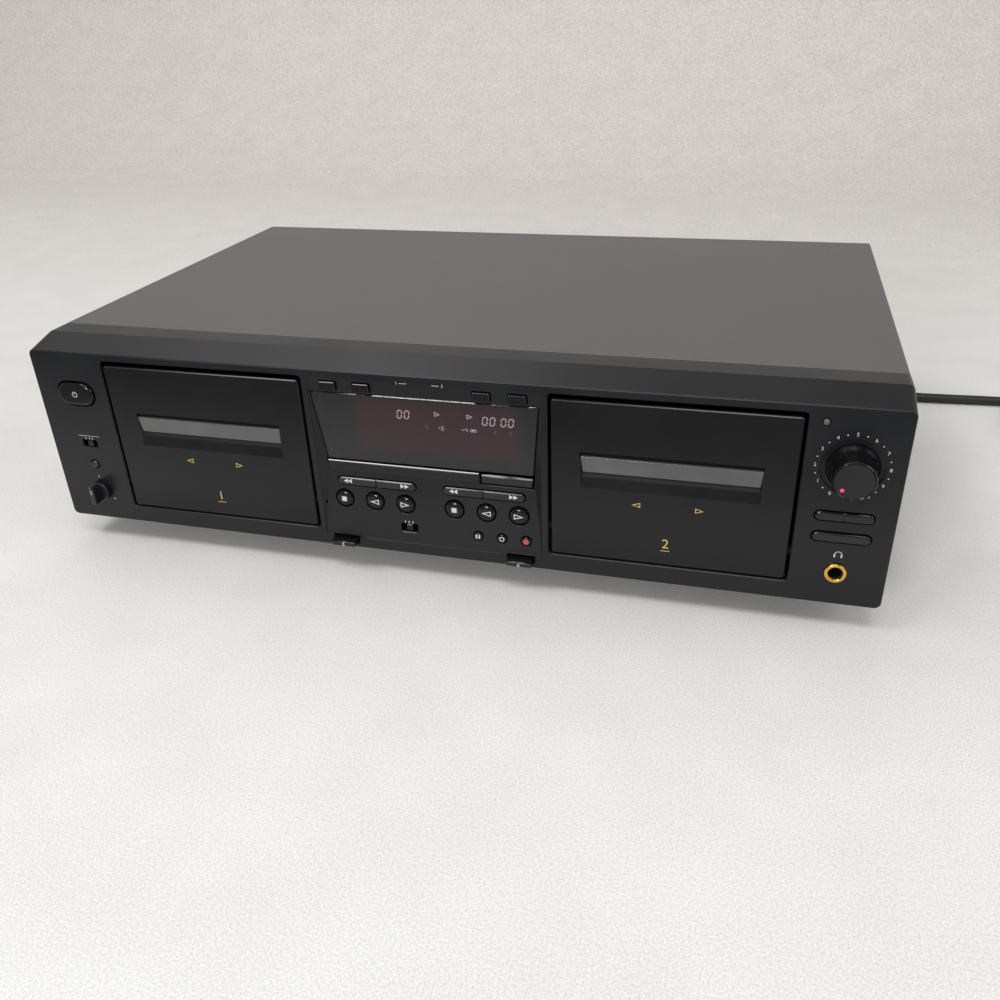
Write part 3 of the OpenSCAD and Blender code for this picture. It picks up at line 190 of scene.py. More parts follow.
@dataclass(frozen=True)
class Finish:
    """A surface that can be put on a piece; each finish makes its material once."""

    name: str
    made: ClassVar[Dict[str, bpy.types.Material]] = {}

    def material(self) -> bpy.types.Material:
        """Makes the finish's material on first use.

        Returns:
            The material.
        """
        if self.name not in Finish.made:
            made = Finish.made[self.name] = bpy.data.materials.new(self.name)
            made.use_nodes = True
            tree = made.node_tree
            tree.nodes.clear()
            place = add(tree, "TexCoord")["Object"]
            shader = add(tree, "BsdfPrincipled", *self.paint(tree, place))
            add(tree, "OutputMaterial", None, {"Surface": shader[0]})
        return Finish.made[self.name]

    def paint(self, tree: Tree, place: Socket) -> Wiring:
        """Adds the finish's own nodes.

        Args:
            tree: the material's node tree.
            place: the object coordinates.

        Returns:
            The shader's settings and its links.
        """
        raise NotImplementedError


@dataclass(frozen=True)
class Toned(Finish):
    """A finish between two tones and two degrees of gloss, with a fine relief."""

    dark: str
    light: str
    rough: Pair

    def surface(self, tree: Tree, tint: Socket, wear: Socket, fine: Socket, span: Pair,
                strength: float) -> Dict[str, Socket]:
        """Adds a tone between two colours, a gloss and a relief.

        Args:
            tree: the material's node tree.
            tint, wear, fine: the patterns that drive tone, gloss and relief.
            span: the gloss pattern's values at the two ends of the roughness.
            strength: the relief's strength.

        Returns:
            The shader's links.
        """
        stops = ((0.3, self.dark), (0.7, self.light))
        ends = {1: span[0], 2: span[1], 3: self.rough[0], 4: self.rough[1]}
        depth = {"Strength": strength, "Distance": self.relief_mm * MM}
        return {"Base Color": add(tree, "ValToRGB", {"stops": stops}, {0: tint})[0],
                "Roughness": add(tree, "MapRange", ends, {0: wear})[0],
                "Normal": add(tree, "Bump", depth, {"Height": fine})[0]}


@dataclass(frozen=True)
class Moulded(Toned):
    """Plastic or rubber: slow drifts of tone, fine grain and uneven gloss.

    The grain is drawn a little coarser than it is, so that it shows in the picture.
    """

    drift_mm: float = 45.0
    grain_mm: float = 0.9
    relief_mm: float = 0.02
    specular: float = 0.5
    inside_mm: float = 0.0
    middle_inside_mm: float = 0.0

    def inner(self, tree: Tree, place: Socket) -> Socket:
        """Adds a value that is 1 on the faces behind the front, which painted shade turns black.

        Args:
            tree: the material's node tree.
            place: the object coordinates.

        Returns:
            The value's socket.
        """
        x, y, z = add(tree, "SeparateXYZ", None, {0: place})
        steps = []
        for depth in (self.middle_inside_mm, self.inside_mm):
            first = FACE.y + depth * MM
            ends = {1: first, 2: first + PAINTED_SHADE_FADE * MM}
            steps.append(add(tree, "MapRange", ends, {0: y})[0])
        off = add(tree, "Math", {"operation": "ABSOLUTE"}, {0: x})[0]
        past = {"operation": "GREATER_THAN", 1: CONSOLE_HALF * MM}
        beside = add(tree, "Math", past, {0: off})[0]
        inside = add(tree, "Mix", {"data_type": "FLOAT"}, {0: beside, 2: steps[0], 3: steps[1]})[0]
        across = {"operation": "LESS_THAN", 1: FRONT_HALF * MM}
        upward = {"operation": "COMPARE", 1: deck(0, 0, (FRONT_TOP + FRONT_FOOT) / 2.0).z,
                  2: (FRONT_TOP - FRONT_FOOT) / 2.0 * MM}
        for test, source in ((across, off), (upward, z)):
            part = add(tree, "Math", test, {0: source})[0]
            inside = add(tree, "Math", {"operation": "MULTIPLY"}, {0: inside, 1: part})[0]
        return inside

    def paint(self, tree: Tree, place: Socket) -> Wiring:
        """Adds drift and grain, and painted shade that blackens the inner faces where there are
        any.

        Args:
            tree: the material's node tree.
            place: the object coordinates.

        Returns:
            The shader's settings and its links.
        """
        drift, grain = [
            add(tree, "TexNoise", {"Scale": per_mm(size), "Detail": detail}, {"Vector": place})[0]
            for size, detail in ((self.drift_mm, 5.0), (self.grain_mm, 2.0))]
        links = self.surface(tree, drift, drift, grain, (0.35, 0.65), 0.6)
        # Painted shade: the faces behind the front go black and matt, as shade falls in gaps and
        # recesses.
        if self.inside_mm:
            inside = self.inner(tree, place)
            black = {"data_type": "RGBA", 7: linear(PAINTED_SHADE_BLACK)}
            tone = add(tree, "Mix", black, {0: inside, 6: links["Base Color"]})[2]
            gloss = add(tree, "MapRange", {4: INNER_ROUGH}, {0: inside, 3: links["Roughness"]})[0]
            links.update({"Base Color": tone, "Roughness": gloss})
        return {"Specular IOR Level": self.specular}, links


@dataclass(frozen=True)
class SheetPaint(Toned):
    """Stoved paint on folded steel: fine orange-peel grain and faint rubs from handling."""

    rub: str
    drift_mm: float = 70.0
    grain_mm: float = 1.1
    rub_mm: float = 9.0
    relief_mm: float = 0.03

    def paint(self, tree: Tree, place: Socket) -> Wiring:
        """Adds drift, grain and the long rubs.

        Args:
            tree: the material's node tree.
            place: the object coordinates.

        Returns:
            The shader's settings and its links.
        """
        slant = {"Rotation": (0.0, 0.0, 0.5), "Scale": (1.0, 0.12, 1.0)}
        long = add(tree, "Mapping", slant, {"Vector": place})[0]
        slow, grain, rubs = [
            add(tree, "TexNoise", {"Scale": per_mm(size), "Detail": detail, "Roughness": rough},
                {"Vector": source})[0]
            for size, detail, rough, source in (
                (self.drift_mm, 4.0, 0.5, place), (self.grain_mm, 2.0, 0.5, place),
                (self.rub_mm, 6.0, 0.7, long))]
        links = self.surface(tree, slow, slow, grain, (0.3, 0.7), 0.7)
        worn = add(tree, "MapRange", {1: 0.64, 2: 0.76, 3: 0.0, 4: 0.6}, {0: rubs})[0]
        links["Base Color"] = add(tree, "Mix", {"data_type": "RGBA", 7: linear(self.rub)},
                                  {0: worn, 6: links["Base Color"]})[2]
        return {}, links


@dataclass(frozen=True)
class Metal(Toned):
    """Rolled, turned or plated metal: fine lines along one direction and slow stains."""

    line_mm: float = 0.7
    stain_mm: float = 30.0
    relief_mm: float = 0.006

    def paint(self, tree: Tree, place: Socket) -> Wiring:
        """Adds the lines and stains.

        Args:
            tree: the material's node tree.
            place: the object coordinates.

        Returns:
            The shader's settings and its links.
        """
        along = add(tree, "Mapping", {"Scale": (0.05, 1.0, 1.0)}, {"Vector": place})[0]
        lines, stain = [
            add(tree, "TexNoise", {"Scale": per_mm(size), "Detail": detail}, {"Vector": source})[0]
            for size, detail, source in ((self.line_mm, 3.0, along), (self.stain_mm, 4.0, place))]
        return {"Metallic": 1.0}, self.surface(tree, stain, lines, lines, (0.3, 0.7), 0.5)


@dataclass(frozen=True)
class Acrylic(Finish):
    """Tinted clear acrylic, polished, with a trace of handling on its gloss."""

    tint: str
    rough: Pair
    clear: float
    smear_mm: float = 14.0

    def paint(self, tree: Tree, place: Socket) -> Wiring:
        """Adds the smears on the gloss.

        Args:
            tree: the material's node tree.
            place: the object coordinates.

        Returns:
            The shader's settings and its links.
        """
        smear = add(tree, "TexNoise", {"Scale": per_mm(self.smear_mm), "Detail": 5.0},
                    {"Vector": place})[0]
        ends = {1: 0.35, 2: 0.7, 3: self.rough[0], 4: self.rough[1]}
        glass = {"Base Color": linear(self.tint), "IOR": 1.49, "Transmission Weight": self.clear}
        return glass, {"Roughness": add(tree, "MapRange", ends, {0: smear})[0]}


@dataclass(frozen=True)
class DisplayFilter(Finish):
    """Face of the display tube: black mask, and a dim wine-red field with its unlit cells, all
    with a painted glow.
    """

    mask: str
    field: str
    cell: str
    left: float
    right: float
    low: float
    high: float
    fade: float = 7.0
    cell_mm: float = 1.8

    def paint(self, tree: Tree, place: Socket) -> Wiring:
        """Adds the cells and the soft edges of the field.

        Args:
            tree: the material's node tree.
            place: the object coordinates.

        Returns:
            The shader's settings and its links.
        """
        x, _, z = add(tree, "SeparateXYZ", None, {0: place})
        low, high = deck(0, 0, self.low).z, deck(0, 0, self.high).z
        inside = None
        for source, start, way in ((x, self.left * MM, 1.0), (x, self.right * MM, -1.0),
                                   (z, low, 1.0), (z, high, -1.0)):
            ends = {"interpolation_type": "SMOOTHSTEP", 1: start, 2: start + way * self.fade * MM}
            step = add(tree, "MapRange", ends, {0: source})[0]
            inside = step if inside is None else add(
                tree, "Math", {"operation": "MULTIPLY"}, {0: inside, 1: step})[0]
        cells = add(tree, "TexVoronoi", {"Scale": per_mm(self.cell_mm), "Randomness": 0.15},
                    {"Vector": place})[0]
        stops = ((0.15, self.cell), (0.5, self.field))
        tone = add(tree, "ValToRGB", {"stops": stops}, {0: cells})[0]
        mixed = add(tree, "Mix", {"data_type": "RGBA", 6: linear(self.mask)},
                    {0: inside, 7: tone})[2]
        # Painted glow: the face emits its own colour, though its field and cells are unlit.
        return ({"Emission Strength": 1.0, "Roughness": 0.6},
                {"Base Color": mixed, "Emission Color": mixed})


@dataclass(frozen=True)
class Ink(Finish):
    """Screen print or a lit segment: thin, slightly uneven in cover."""

    colour: str
    thin: str
    glow: float = 0.0
    cover_mm: float = 0.6

    def paint(self, tree: Tree, place: Socket) -> Wiring:
        """Adds the uneven cover, and the glow of what is lit.

        Args:
            tree: the material's node tree.
            place: the object coordinates.

        Returns:
            The shader's settings and its links.
        """
        cover = add(tree, "TexNoise", {"Scale": per_mm(self.cover_mm), "Detail": 2.0},
                    {"Vector": place})[0]
        stops = ((0.25, self.thin), (0.6, self.colour))
        links = {"Base Color": add(tree, "ValToRGB", {"stops": stops}, {0: cover})[0]}
        if self.glow:
            links["Emission Color"] = links["Base Color"]
        return {"Roughness": 0.5, "Emission Strength": self.glow}, links


@dataclass(frozen=True)
class Felt(Finish):
    """Pale fleece of matted fibres, with painted shade that makes it greyer towards the back of
    the room.
    """

    dark: str
    light: str
    far: str
    near_y: float
    far_y: float
    fibre_mm: float = 0.9
    far_mm: float = 4.0
    mottle_mm: float = 45.0

    def paint(self, tree: Tree, place: Socket) -> Wiring:
        """Adds the fibres, which are drawn coarser far off, so that they show.

        Args:
            tree: the material's node tree.
            place: the object coordinates.

        Returns:
            The shader's settings and its links.
        """
        depth = add(tree, "SeparateXYZ", None, {0: place})[1]
        ends = {"interpolation_type": "SMOOTHSTEP", 1: self.near_y * MM, 2: self.far_y * MM}
        away = add(tree, "MapRange", ends, {0: depth})[0]
        near, far, blotch = [
            add(tree, "TexNoise", {"Scale": per_mm(size), "Detail": detail, "Roughness": rough},
                {"Vector": place})[0]
            for size, detail, rough in ((self.fibre_mm, 5.0, 0.7), (self.far_mm, 5.0, 0.7),
                                        (self.mottle_mm, 3.0, 0.5))]
        fibre = add(tree, "Mix", {"data_type": "FLOAT"}, {0: away, 2: near, 3: far})[0]
        stops = ((0.34, self.dark), (0.62, self.light))
        tone = add(tree, "ValToRGB", {"stops": stops}, {0: fibre})[0]
        # Painted shade first, greyer towards the back, then a random mottle.
        for source, stops in ((away, ((0.0, "#ffffff"), (1.0, self.far))),
                              (blotch, ((0.3, "#f8f8f7"), (0.7, "#fffefd")))):
            layer = add(tree, "ValToRGB", {"stops": stops}, {0: source})[0]
            tone = add(tree, "Mix", {"data_type": "RGBA", "blend_type": "MULTIPLY", 0: 1.0},
                       {6: tone, 7: layer})[2]
        bump = add(tree, "Bump", {"Strength": 0.3, "Distance": 0.3 * MM}, {"Height": fibre})[0]
        return ({"Roughness": 0.95, "Specular IOR Level": 0.1},
                {"Base Color": tone, "Normal": bump})


@dataclass(frozen=True)
class GradedCard(Finish):
    """Studio card that goes from the floor's tone to grey, away from the deck."""

    near: str
    far: str
    near_y: float
    far_y: float

    def paint(self, tree: Tree, place: Socket) -> Wiring:
        """Adds the run of tone.

        Args:
            tree: the material's node tree.
            place: the object coordinates.

        Returns:
            The shader's settings and its links.
        """
        depth = add(tree, "SeparateXYZ", None, {0: place})[1]
        ends = {1: self.far_y * MM, 2: self.near_y * MM}
        share = add(tree, "MapRange", ends, {0: depth})[0]
        stops = ((0.0, self.far), (1.0, self.near))
        tone = add(tree, "ValToRGB", {"stops": stops}, {0: share})[0]
        return {"Roughness": 0.9}, {"Base Color": tone}


# Injection-moulded ABS with a fine spark-eroded grain: a soft, dark satin, with painted shade
# blackening its faces behind the front
PANEL_ABS = Moulded("abs_satin_black", "#0f1012", "#141517", (0.28, 0.36), relief_mm=0.01,
                    specular=0.32, inside_mm=0.7, middle_inside_mm=5.0)
# The same plastic on the doors, a touch smoother, with painted shade behind the front as well
DOOR_ABS = Moulded("abs_door_black", "#0d0d0e", "#121213", (0.19, 0.25), relief_mm=0.006,
                   specular=0.3, inside_mm=0.9, middle_inside_mm=0.9)
# Polished key plastic: a hard bright highlight
KEY_GLOSS = Moulded("abs_key_gloss", "#09090a", "#0d0d0f", (0.08, 0.13), relief_mm=0.002,
                    specular=0.32)
# Buffed trim: a thin bright line
TRIM_GLOSS = Moulded("abs_trim_buffed", "#0a0a0b", "#0e0e10", (0.06, 0.1), relief_mm=0.001,
                     specular=0.8)
# Satin key plastic of the rockers, tabs and bars: a broad grey sheen
KEY_SATIN = Moulded("abs_key_satin", "#09090a", "#0d0d0e", (0.16, 0.22), relief_mm=0.004)
# Spun knob faces: a dark matt disc
KNOB_FACE = Moulded("abs_knob", "#121213", "#18181a", (0.3, 0.38), relief_mm=0.006)
# Stoved cover: a warm mid grey with dull rubs
COVER_PAINT = SheetPaint("stoved_grey_paint", "#4a4b4b", "#525252", (0.42, 0.52), "#333230")
# The same paint in black on the back
REAR_PAINT = SheetPaint("stoved_black_paint", "#262728", "#2d2e2f", (0.45, 0.55), "#1b1b1b")
# Zinc plate: pale, with faint rolling lines
ZINC = Metal("zinc_plated_sheet", "#9b9d9b", "#b4b5b0", (0.25, 0.42))
# Black passivated zinc: a dark metal without mirror
BLACK_ZINC = Metal("black_passivated_zinc", "#161618", "#1e1e20", (0.4, 0.55))
# Turned steel: bright, with fine tool lines
BRIGHT = Metal("turned_steel", "#b4b6b8", "#cccdce", (0.16, 0.3), line_mm=0.5)
# Lapped head metal: smooth, a little yellow
HEAD_METAL = Metal("lapped_nickel_iron", "#a7a6a1", "#bdbcb6", (0.12, 0.22), line_mm=0.4)
# Gold plating: warm yellow with sharp highlights
GOLD = Metal("gold_plating", "#d8a040", "#efc46a", (0.14, 0.26), line_mm=0.5)
# Blackened screws: dark grey with a small glint
BLACK_SCREW = Metal("blackened_steel", "#3c3c3e", "#4a4a4c", (0.25, 0.35))
# Smoked acrylic: clear, but dims what is behind it
SMOKE = Acrylic("smoked_acrylic", "#4e4b4e", (0.04, 0.08), 0.95)
# Pane: an even grey under a gloss, partly its own tone and partly a painted reflection of the
# bright room
PANE = Moulded("pane_grey_painted_reflection", "#404040", "#4d4d4d", (0.1, 0.16), drift_mm=30.0, relief_mm=0.002)
# Glass epoxy: green, mottled by its weave
BOARD = Moulded("epoxy_board", "#24503a", "#2f6043", (0.35, 0.5), drift_mm=12.0, grain_mm=0.6)
# Acetal: waxy ivory
IVORY = Moulded("acetal_ivory", "#d6d2c6", "#e2dfd4", (0.35, 0.45))
# Nitrile rubber: matt black
RUBBER = Moulded("nitrile_rubber", "#151516", "#1c1c1d", (0.6, 0.75))
# PVC sheath: black with a soft sheen
SHEATH = Moulded("pvc_sheath", "#141415", "#1b1b1c", (0.38, 0.48), drift_mm=25.0, relief_mm=0.008)
# Painted shade: near-black linings in holes and wells, where shade falls
PAINTED_SHADE_LINING = Moulded("painted_shade_lining", "#060607", "#0a0a0b", (0.5, 0.6))
# Insulators of the jacks: plain red and off-white plastic
RED_SHELL = Moulded("red_insulator", "#8e1f1f", "#a32a28", (0.3, 0.4))
WHITE_SHELL = Moulded("white_insulator", "#cfcdc7", "#dddbd5", (0.3, 0.4))
# Unlit lamp: a greyish pink lens
LAMP = Moulded("unlit_lamp", "#4a4444", "#574f4f", (0.15, 0.25), relief_mm=0.001)
# Display tube: wine red in a black mask, with a painted glow
TUBE = DisplayFilter("display_filter", "#050506", "#86283a", "#a03246", -40.0, 49.0, 51.5, 85.0)
# Screen prints: flat colours with a trace of the screen
PRINT_GREY = Ink("print_grey", "#b4b4b0", "#9a9a97")
PRINT_WHITE = Ink("print_white", "#bcbcb8", "#a0a09d")
PRINT_GOLD = Ink("print_gold", "#b79c5c", "#9c8449")
PRINT_RED = Ink("print_red", "#ab424d", "#943641")
# Fluorescent dot on the level knob: brighter than print
LEVEL_DOT = Ink("print_level_dot", "#e0405c", "#c8324e", glow=0.35)
# Phosphor behind the window: bluish white where lit, and dim warm unlit figures with a painted
# glow
SEGMENT = Ink("lit_segment", "#e4efee", "#d6e4e4", glow=8.0)
UNLIT_FIGURE_GLOW = Ink("unlit_figure_painted_glow", "#d8b0a8", "#cfa69e", glow=3.2)
# Floor fleece: pale, with a soft mottle and a faint painted shade towards the back
FLEECE = Felt("fleece", "#c5c4c1", "#e0dfdd", "#fefaf8", 150.0, 1000.0)
# Card: a grey that the gloss of the front mirrors
CARD = GradedCard("graded_card", "#e0dfdd", "#5c5c5c", -205.0, -350.0)


def linked(name: str, data: bpy.types.ID) -> Piece:
    """Makes an object of its data and links it to the scene."""
    made = bpy.data.objects.new(name, data)
    bpy.context.scene.collection.objects.link(made)
    return made


def put(name: str, data: bpy.types.ID, finish: Finish, body: str) -> Piece:
    """Makes a piece of a mesh or curve.

    Args:
        name: the piece's name.
        data: its mesh or curve, in place.
        finish: its surface.
        body: the body that it moves with.

    Returns:
        The new object.
    """
    data.materials.clear()
    data.materials.append(finish.material())
    piece = linked(name, data)
    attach(piece, body)
    LOG.info("%s rides on %s", name, body)
    return piece


def as_mesh(name: str, work: Work) -> bpy.types.Mesh:
    """Turns a worked mesh into a smooth one and frees it.

    Args:
        name: the mesh's name.
        work: the worked mesh.

    Returns:
        The mesh.
    """
    for face in work.faces:
        face.smooth = True
    mesh = bpy.data.meshes.new(name)
    work.to_mesh(mesh)
    work.free()
    return mesh


def shape(name: str, work: Work, finish: Finish, body: str, slot: str, node: str = "",
          crease: float = SMOOTH_TO) -> Piece:
    """Turns a worked mesh into a piece.

    Args:
        name: the piece's name.
        work: the mesh, which is freed.
        finish, body: as for any piece; slot: not used.
        node: the node that it stands for, if any.
        crease: the angle, in degrees, past which an edge stays sharp.

    Returns:
        The piece.
    """
    bmesh.ops.remove_doubles(work, verts=work.verts[:], dist=1e-6)
    bmesh.ops.recalc_face_normals(work, faces=work.faces[:])
    mesh = as_mesh(name, work)
    mesh.set_sharp_from_angle(angle=math.radians(crease))
    piece = put(name, mesh, finish, body)
    if node:
        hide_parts(node)
    return piece


def rectangle(work: Work, width: float, height: float) -> List[bmesh.types.BMVert]:
    """Adds a flat rectangle about the origin and gives its corners."""
    made = bmesh.ops.create_grid(work, x_segments=1, y_segments=1, size=0.5)["verts"]
    bmesh.ops.scale(work, vec=(width, height, 1.0), verts=made)
    return made


def rounded(work: Work, geom: Sequence, width: float, segments: int,
            affect: str = "EDGES") -> None:
    """Rounds edges, or the corners of a flat figure, by a width in millimetres."""
    bmesh.ops.bevel(work, geom=geom, offset=width * MM, offset_type="OFFSET", affect=affect,
                    segments=segments, profile=0.5, material=-1)


def framed(work: Work, faces: Sequence[bmesh.types.BMFace],
           thickness: float) -> List[bmesh.types.BMFace]:
    """Cuts the inside out of flat faces and gives the frame that is left."""
    rim = bmesh.ops.inset_region(work, faces=faces, thickness=thickness, use_even_offset=True,
                                 use_boundary=True)["faces"]
    bmesh.ops.delete(work, geom=faces, context="FACES_ONLY")
    return rim


def turned(work: Work, profile: Sequence[Pair], centre: Vector, outward: Vector,
           steps: int) -> None:
    """Turns a profile about an axis, as on a lathe.

    Args:
        work: the mesh to add to.
        profile: radius and distance along the axis, in millimetres.
        centre: the axis's origin.
        outward: the axis's direction.
        steps: facets round the axis.
    """
    side = outward.orthogonal().normalized()
    points = [work.verts.new(centre + outward * h * MM + side * r * MM) for r, h in profile]
    lines = [work.edges.new(pair) for pair in zip(points, points[1:])]
    bmesh.ops.spin(work, geom=points + lines, cent=centre, axis=outward, dvec=(0.0, 0.0, 0.0),
                   angle=2.0 * math.pi, steps=steps, use_merge=True, use_duplicate=False)


def lathe(name: str, profile: Sequence[Pair], centres: Iterable[Vector], outward: Vector,
          steps: int, finish: Finish, body: str, slot: str, node: str = "",
          crease: float = SMOOTH_TO) -> Piece:
    """Makes a piece by turning one profile about one or more axes.

    Args:
        name: the piece's name.
        profile: radius and distance along the axis, in millimetres.
        centres: the axes' origins.
        outward: their direction.
        steps: facets round an axis.
        finish, body, slot, node, crease: as for shape.

    Returns:
        The piece.
    """
    work = bmesh.new()
    for centre in centres:
        turned(work, profile, centre, outward, steps)
    return shape(name, work, finish, body, slot, node, crease)


def room(edge: bmesh.types.BMEdge, width: float) -> float:
    """Gives the share of a width that an outer edge has room to be eased by.

    Args:
        edge: the edge.
        width: the width that is wanted, in metres.

    Returns:
        From 0, for an edge that stays as it is, to 1.
    """
    if len(edge.link_faces) != 2 or edge.calc_face_angle_signed(0.0) < EASE_ANGLE:
        return 0.0
    spans = [face.calc_area() / edge.calc_length() for face in edge.link_faces]
    along = (edge.verts[1].co - edge.verts[0].co).normalized()
    for vert in edge.verts:
        for other in vert.link_edges:
            slight = other.calc_face_angle(0.0) < EASE_ANGLE
            if other is not edge and slight and other.calc_length() > SPECK * MM:
                spans.append((other.other_vert(vert).co - vert.co).cross(along).length)
    return min(1.0, EASE_SHARE * min(spans) / width)


def evened(work: Work, weights: bmesh.types.BMLayerItem) -> None:
    """Gives the edges of each smooth run the least share that any of them has.

    Args:
        work: the mesh.
        weights: the layer with the edges' shares.
    """
    queue = [edge for edge in work.edges if edge[weights] > 0.0]
    while queue:
        edge = queue.pop()
        for vert in edge.verts:
            way = (vert.co - edge.other_vert(vert).co).normalized()
            for other in vert.link_edges:
                ahead = (other.other_vert(vert).co - vert.co).normalized()
                if other[weights] > edge[weights] and way.dot(ahead) > RUN_COSINE:
                    other[weights] = edge[weights]
                    queue.append(other)


def crossed(work: Work, step_mm: float) -> None:
    """Cuts a mesh across its width and height, so that its wide faces become small even ones.

    Args:
        work: the mesh.
        step_mm: the distance between cuts, which are counted from its middle.
    """
    for axis in (0, 2):
        low, high = (pick(vert.co[axis] for vert in work.verts) for pick in (min, max))
        count = int((high - low) / 2.0 / (step_mm * MM))
        for step in range(-count, count + 1):
            at, way = Vector(), Vector()
            at[axis] = (low + high) / 2.0 + step * step_mm * MM
            way[axis] = 1.0
            cut = bmesh.ops.bisect_plane(
                work, geom=work.verts[:] + work.edges[:] + work.faces[:], dist=1e-7, plane_co=at,
                plane_no=way)["geom_cut"]
            for edge in cut:
                if isinstance(edge, bmesh.types.BMEdge):
                    edge.seam = True


def crisp(edge: bmesh.types.BMEdge) -> bool:
    """Tells whether an edge is a crease: a steep one, or a slight fold between wide faces."""
    turn = edge.calc_face_angle(0.0)
    spans = [face.calc_area() / edge.calc_length() for face in edge.link_faces]
    return turn > CREASE_ANGLE or (turn > FOLD_ANGLE and min(spans, default=0.0) > FOLD_SPAN * MM)


def softened(node: str, finish: Finish, body: str, edge_mm: float, segments: int = 2,
             step_mm: float = 25.0) -> None:
    """Makes a merged copy of a node with its sharp outer edges eased, which stands for the node.

    Args:
        node: the node that is copied.
        finish: the copy's surface.
        body: the body that it moves with.
        edge_mm: the width of the eased edge; none at 0.
        segments: how many facets the eased edge has; one gives a flat chamfer.
        step_mm: the distance between the cuts that divide its wide faces.
    """
    work = bmesh.new()
    work.from_mesh(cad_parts[node].data)
    bmesh.ops.remove_doubles(work, verts=work.verts[:], dist=2e-6)
    if edge_mm:
        crossed(work, step_mm)
    bmesh.ops.dissolve_limit(work, angle_limit=FLAT_ANGLE, verts=work.verts[:],
                             edges=work.edges[:], delimit={"SEAM"})
    for edge in work.edges:
        edge.smooth = not crisp(edge)
    if edge_mm:
        weights = work.edges.layers.float.new("bevel_weight_edge")
        for edge in work.edges:
            edge[weights] = room(edge, edge_mm * MM)
        evened(work, weights)
    piece = put(node + "_look", as_mesh(node + "_look", work), finish, body)
    if edge_mm:
        ease = piece.modifiers.new("eased_edges", "BEVEL")
        ease.width = edge_mm * MM
        ease.segments = segments
        ease.limit_method = "WEIGHT"
        ease.use_clamp_overlap = False
        ease.mark_sharp = segments == 1
    piece.modifiers.new("flat_faces", "WEIGHTED_NORMAL").keep_sharp = True
    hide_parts(node)


def dressed(node: str, finish: Finish) -> None:
    """Gives a node of the model a finish of its own."""
    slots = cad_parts[node].data.materials
    slots.clear()
    slots.append(finish.material())


class Side(Enum):
    """The two decks, by the letter in the names of their pieces."""

    A = "a"
    B = "b"

    @property
    def way(self) -> float:
        """Which way the deck lies from the middle."""
        return -1.0 if self is Side.A else 1.0

    @property
    def number(self) -> str:
        """The deck's printed number."""
        return "1" if self is Side.A else "2"


class PrintSheet:
    """Collects thin printed marks on flat faces of one body."""

    def __init__(self, name: str, finish: Finish, body: str, slot: str) -> None:
        """Starts an empty sheet."""
        self.name, self.dress = name, (finish, body, slot)
        self.work = bmesh.new()

    def settle(self, verts: Iterable[bmesh.types.BMVert], plane: Matrix, at: Pair,
               turn: float = 0.0) -> None:
        """Moves new marks from their own plane to a place on the face."""
        spin = Matrix.Rotation(math.radians(turn), 4, "Z")
        place = plane @ Matrix.Translation((at[0], at[1], INK_LIFT)) @ spin
        bmesh.ops.transform(self.work, matrix=place, verts=list(verts))

    def bar(self, plane: Matrix, at: Pair, size: Pair, turn: float = 0.0) -> None:
        """Adds a filled bar of a width and height."""
        self.settle(rectangle(self.work, *size), plane, at, turn)

    def polygon(self, plane: Matrix, at: Pair, radius: float, corners: int, turn: float = 0.0,
                squeeze: float = 1.0, stroke: float = 0.0, upper: bool = False) -> None:
        """Adds a regular figure, such as a disc, a ring or a triangle.

        Args:
            plane: the face.
            at: the figure's middle there.
            radius: from the middle to a corner.
            corners: how many corners it has.
            turn: its turn, in degrees.
            squeeze: its height against its width.
            stroke: the width of its outline; it is filled at 0.
            upper: whether only the upper half of an outline is drawn.
        """
        made = bmesh.ops.create_circle(self.work, cap_ends=True, segments=corners,
                                       radius=radius)["verts"]
        bmesh.ops.rotate(self.work, verts=made, cent=(0, 0, 0),
                         matrix=Matrix.Rotation(math.radians(turn), 3, "Z"))
        bmesh.ops.scale(self.work, vec=(1.0, squeeze, 1.0), verts=made)
        if stroke:
            faces = list({face for vert in made for face in vert.link_faces})
            rim = framed(self.work, faces, stroke)
            if upper:
                low = [face for face in rim if face.calc_center_median().y < 0.0]
                rim = [face for face in rim if face not in low]
                bmesh.ops.delete(self.work, geom=low, context="FACES")
            made = {vert for face in rim for vert in face.verts}
        self.settle(made, plane, at)

    def figure(self, plane: Matrix, at: Pair, text: str, height: float) -> None:
        """Adds a plain number, centred on a place.

        Args:
            plane: the face.
            at: the number's middle there.
            text: the number.
            height: its height.
        """
        curve = bpy.data.curves.new(self.name + "_figure", "FONT")
        curve.body, curve.size = text, height * 1.4
        curve.align_x = curve.align_y = "CENTER"
        curve.resolution_u = 3
        holder = linked(self.name + "_figure", curve)
        bpy.context.view_layer.update()
        mesh = bpy.data.meshes.new_from_object(holder)
        before = set(self.work.verts)
        self.work.from_mesh(mesh)
        self.settle([vert for vert in self.work.verts if vert not in before], plane, at)
        bpy.data.objects.remove(holder)
        bpy.data.curves.remove(curve)
        bpy.data.meshes.remove(mesh)

    def press(self) -> None:
        """Gives the marks their thickness and makes the piece."""
        bmesh.ops.remove_doubles(self.work, verts=self.work.verts[:], dist=1e-7)
        bmesh.ops.recalc_face_normals(self.work, faces=self.work.faces[:])
        bmesh.ops.solidify(self.work, geom=self.work.faces[:], thickness=INK_THICK * MM)
        shape(self.name, self.work, *self.dress)


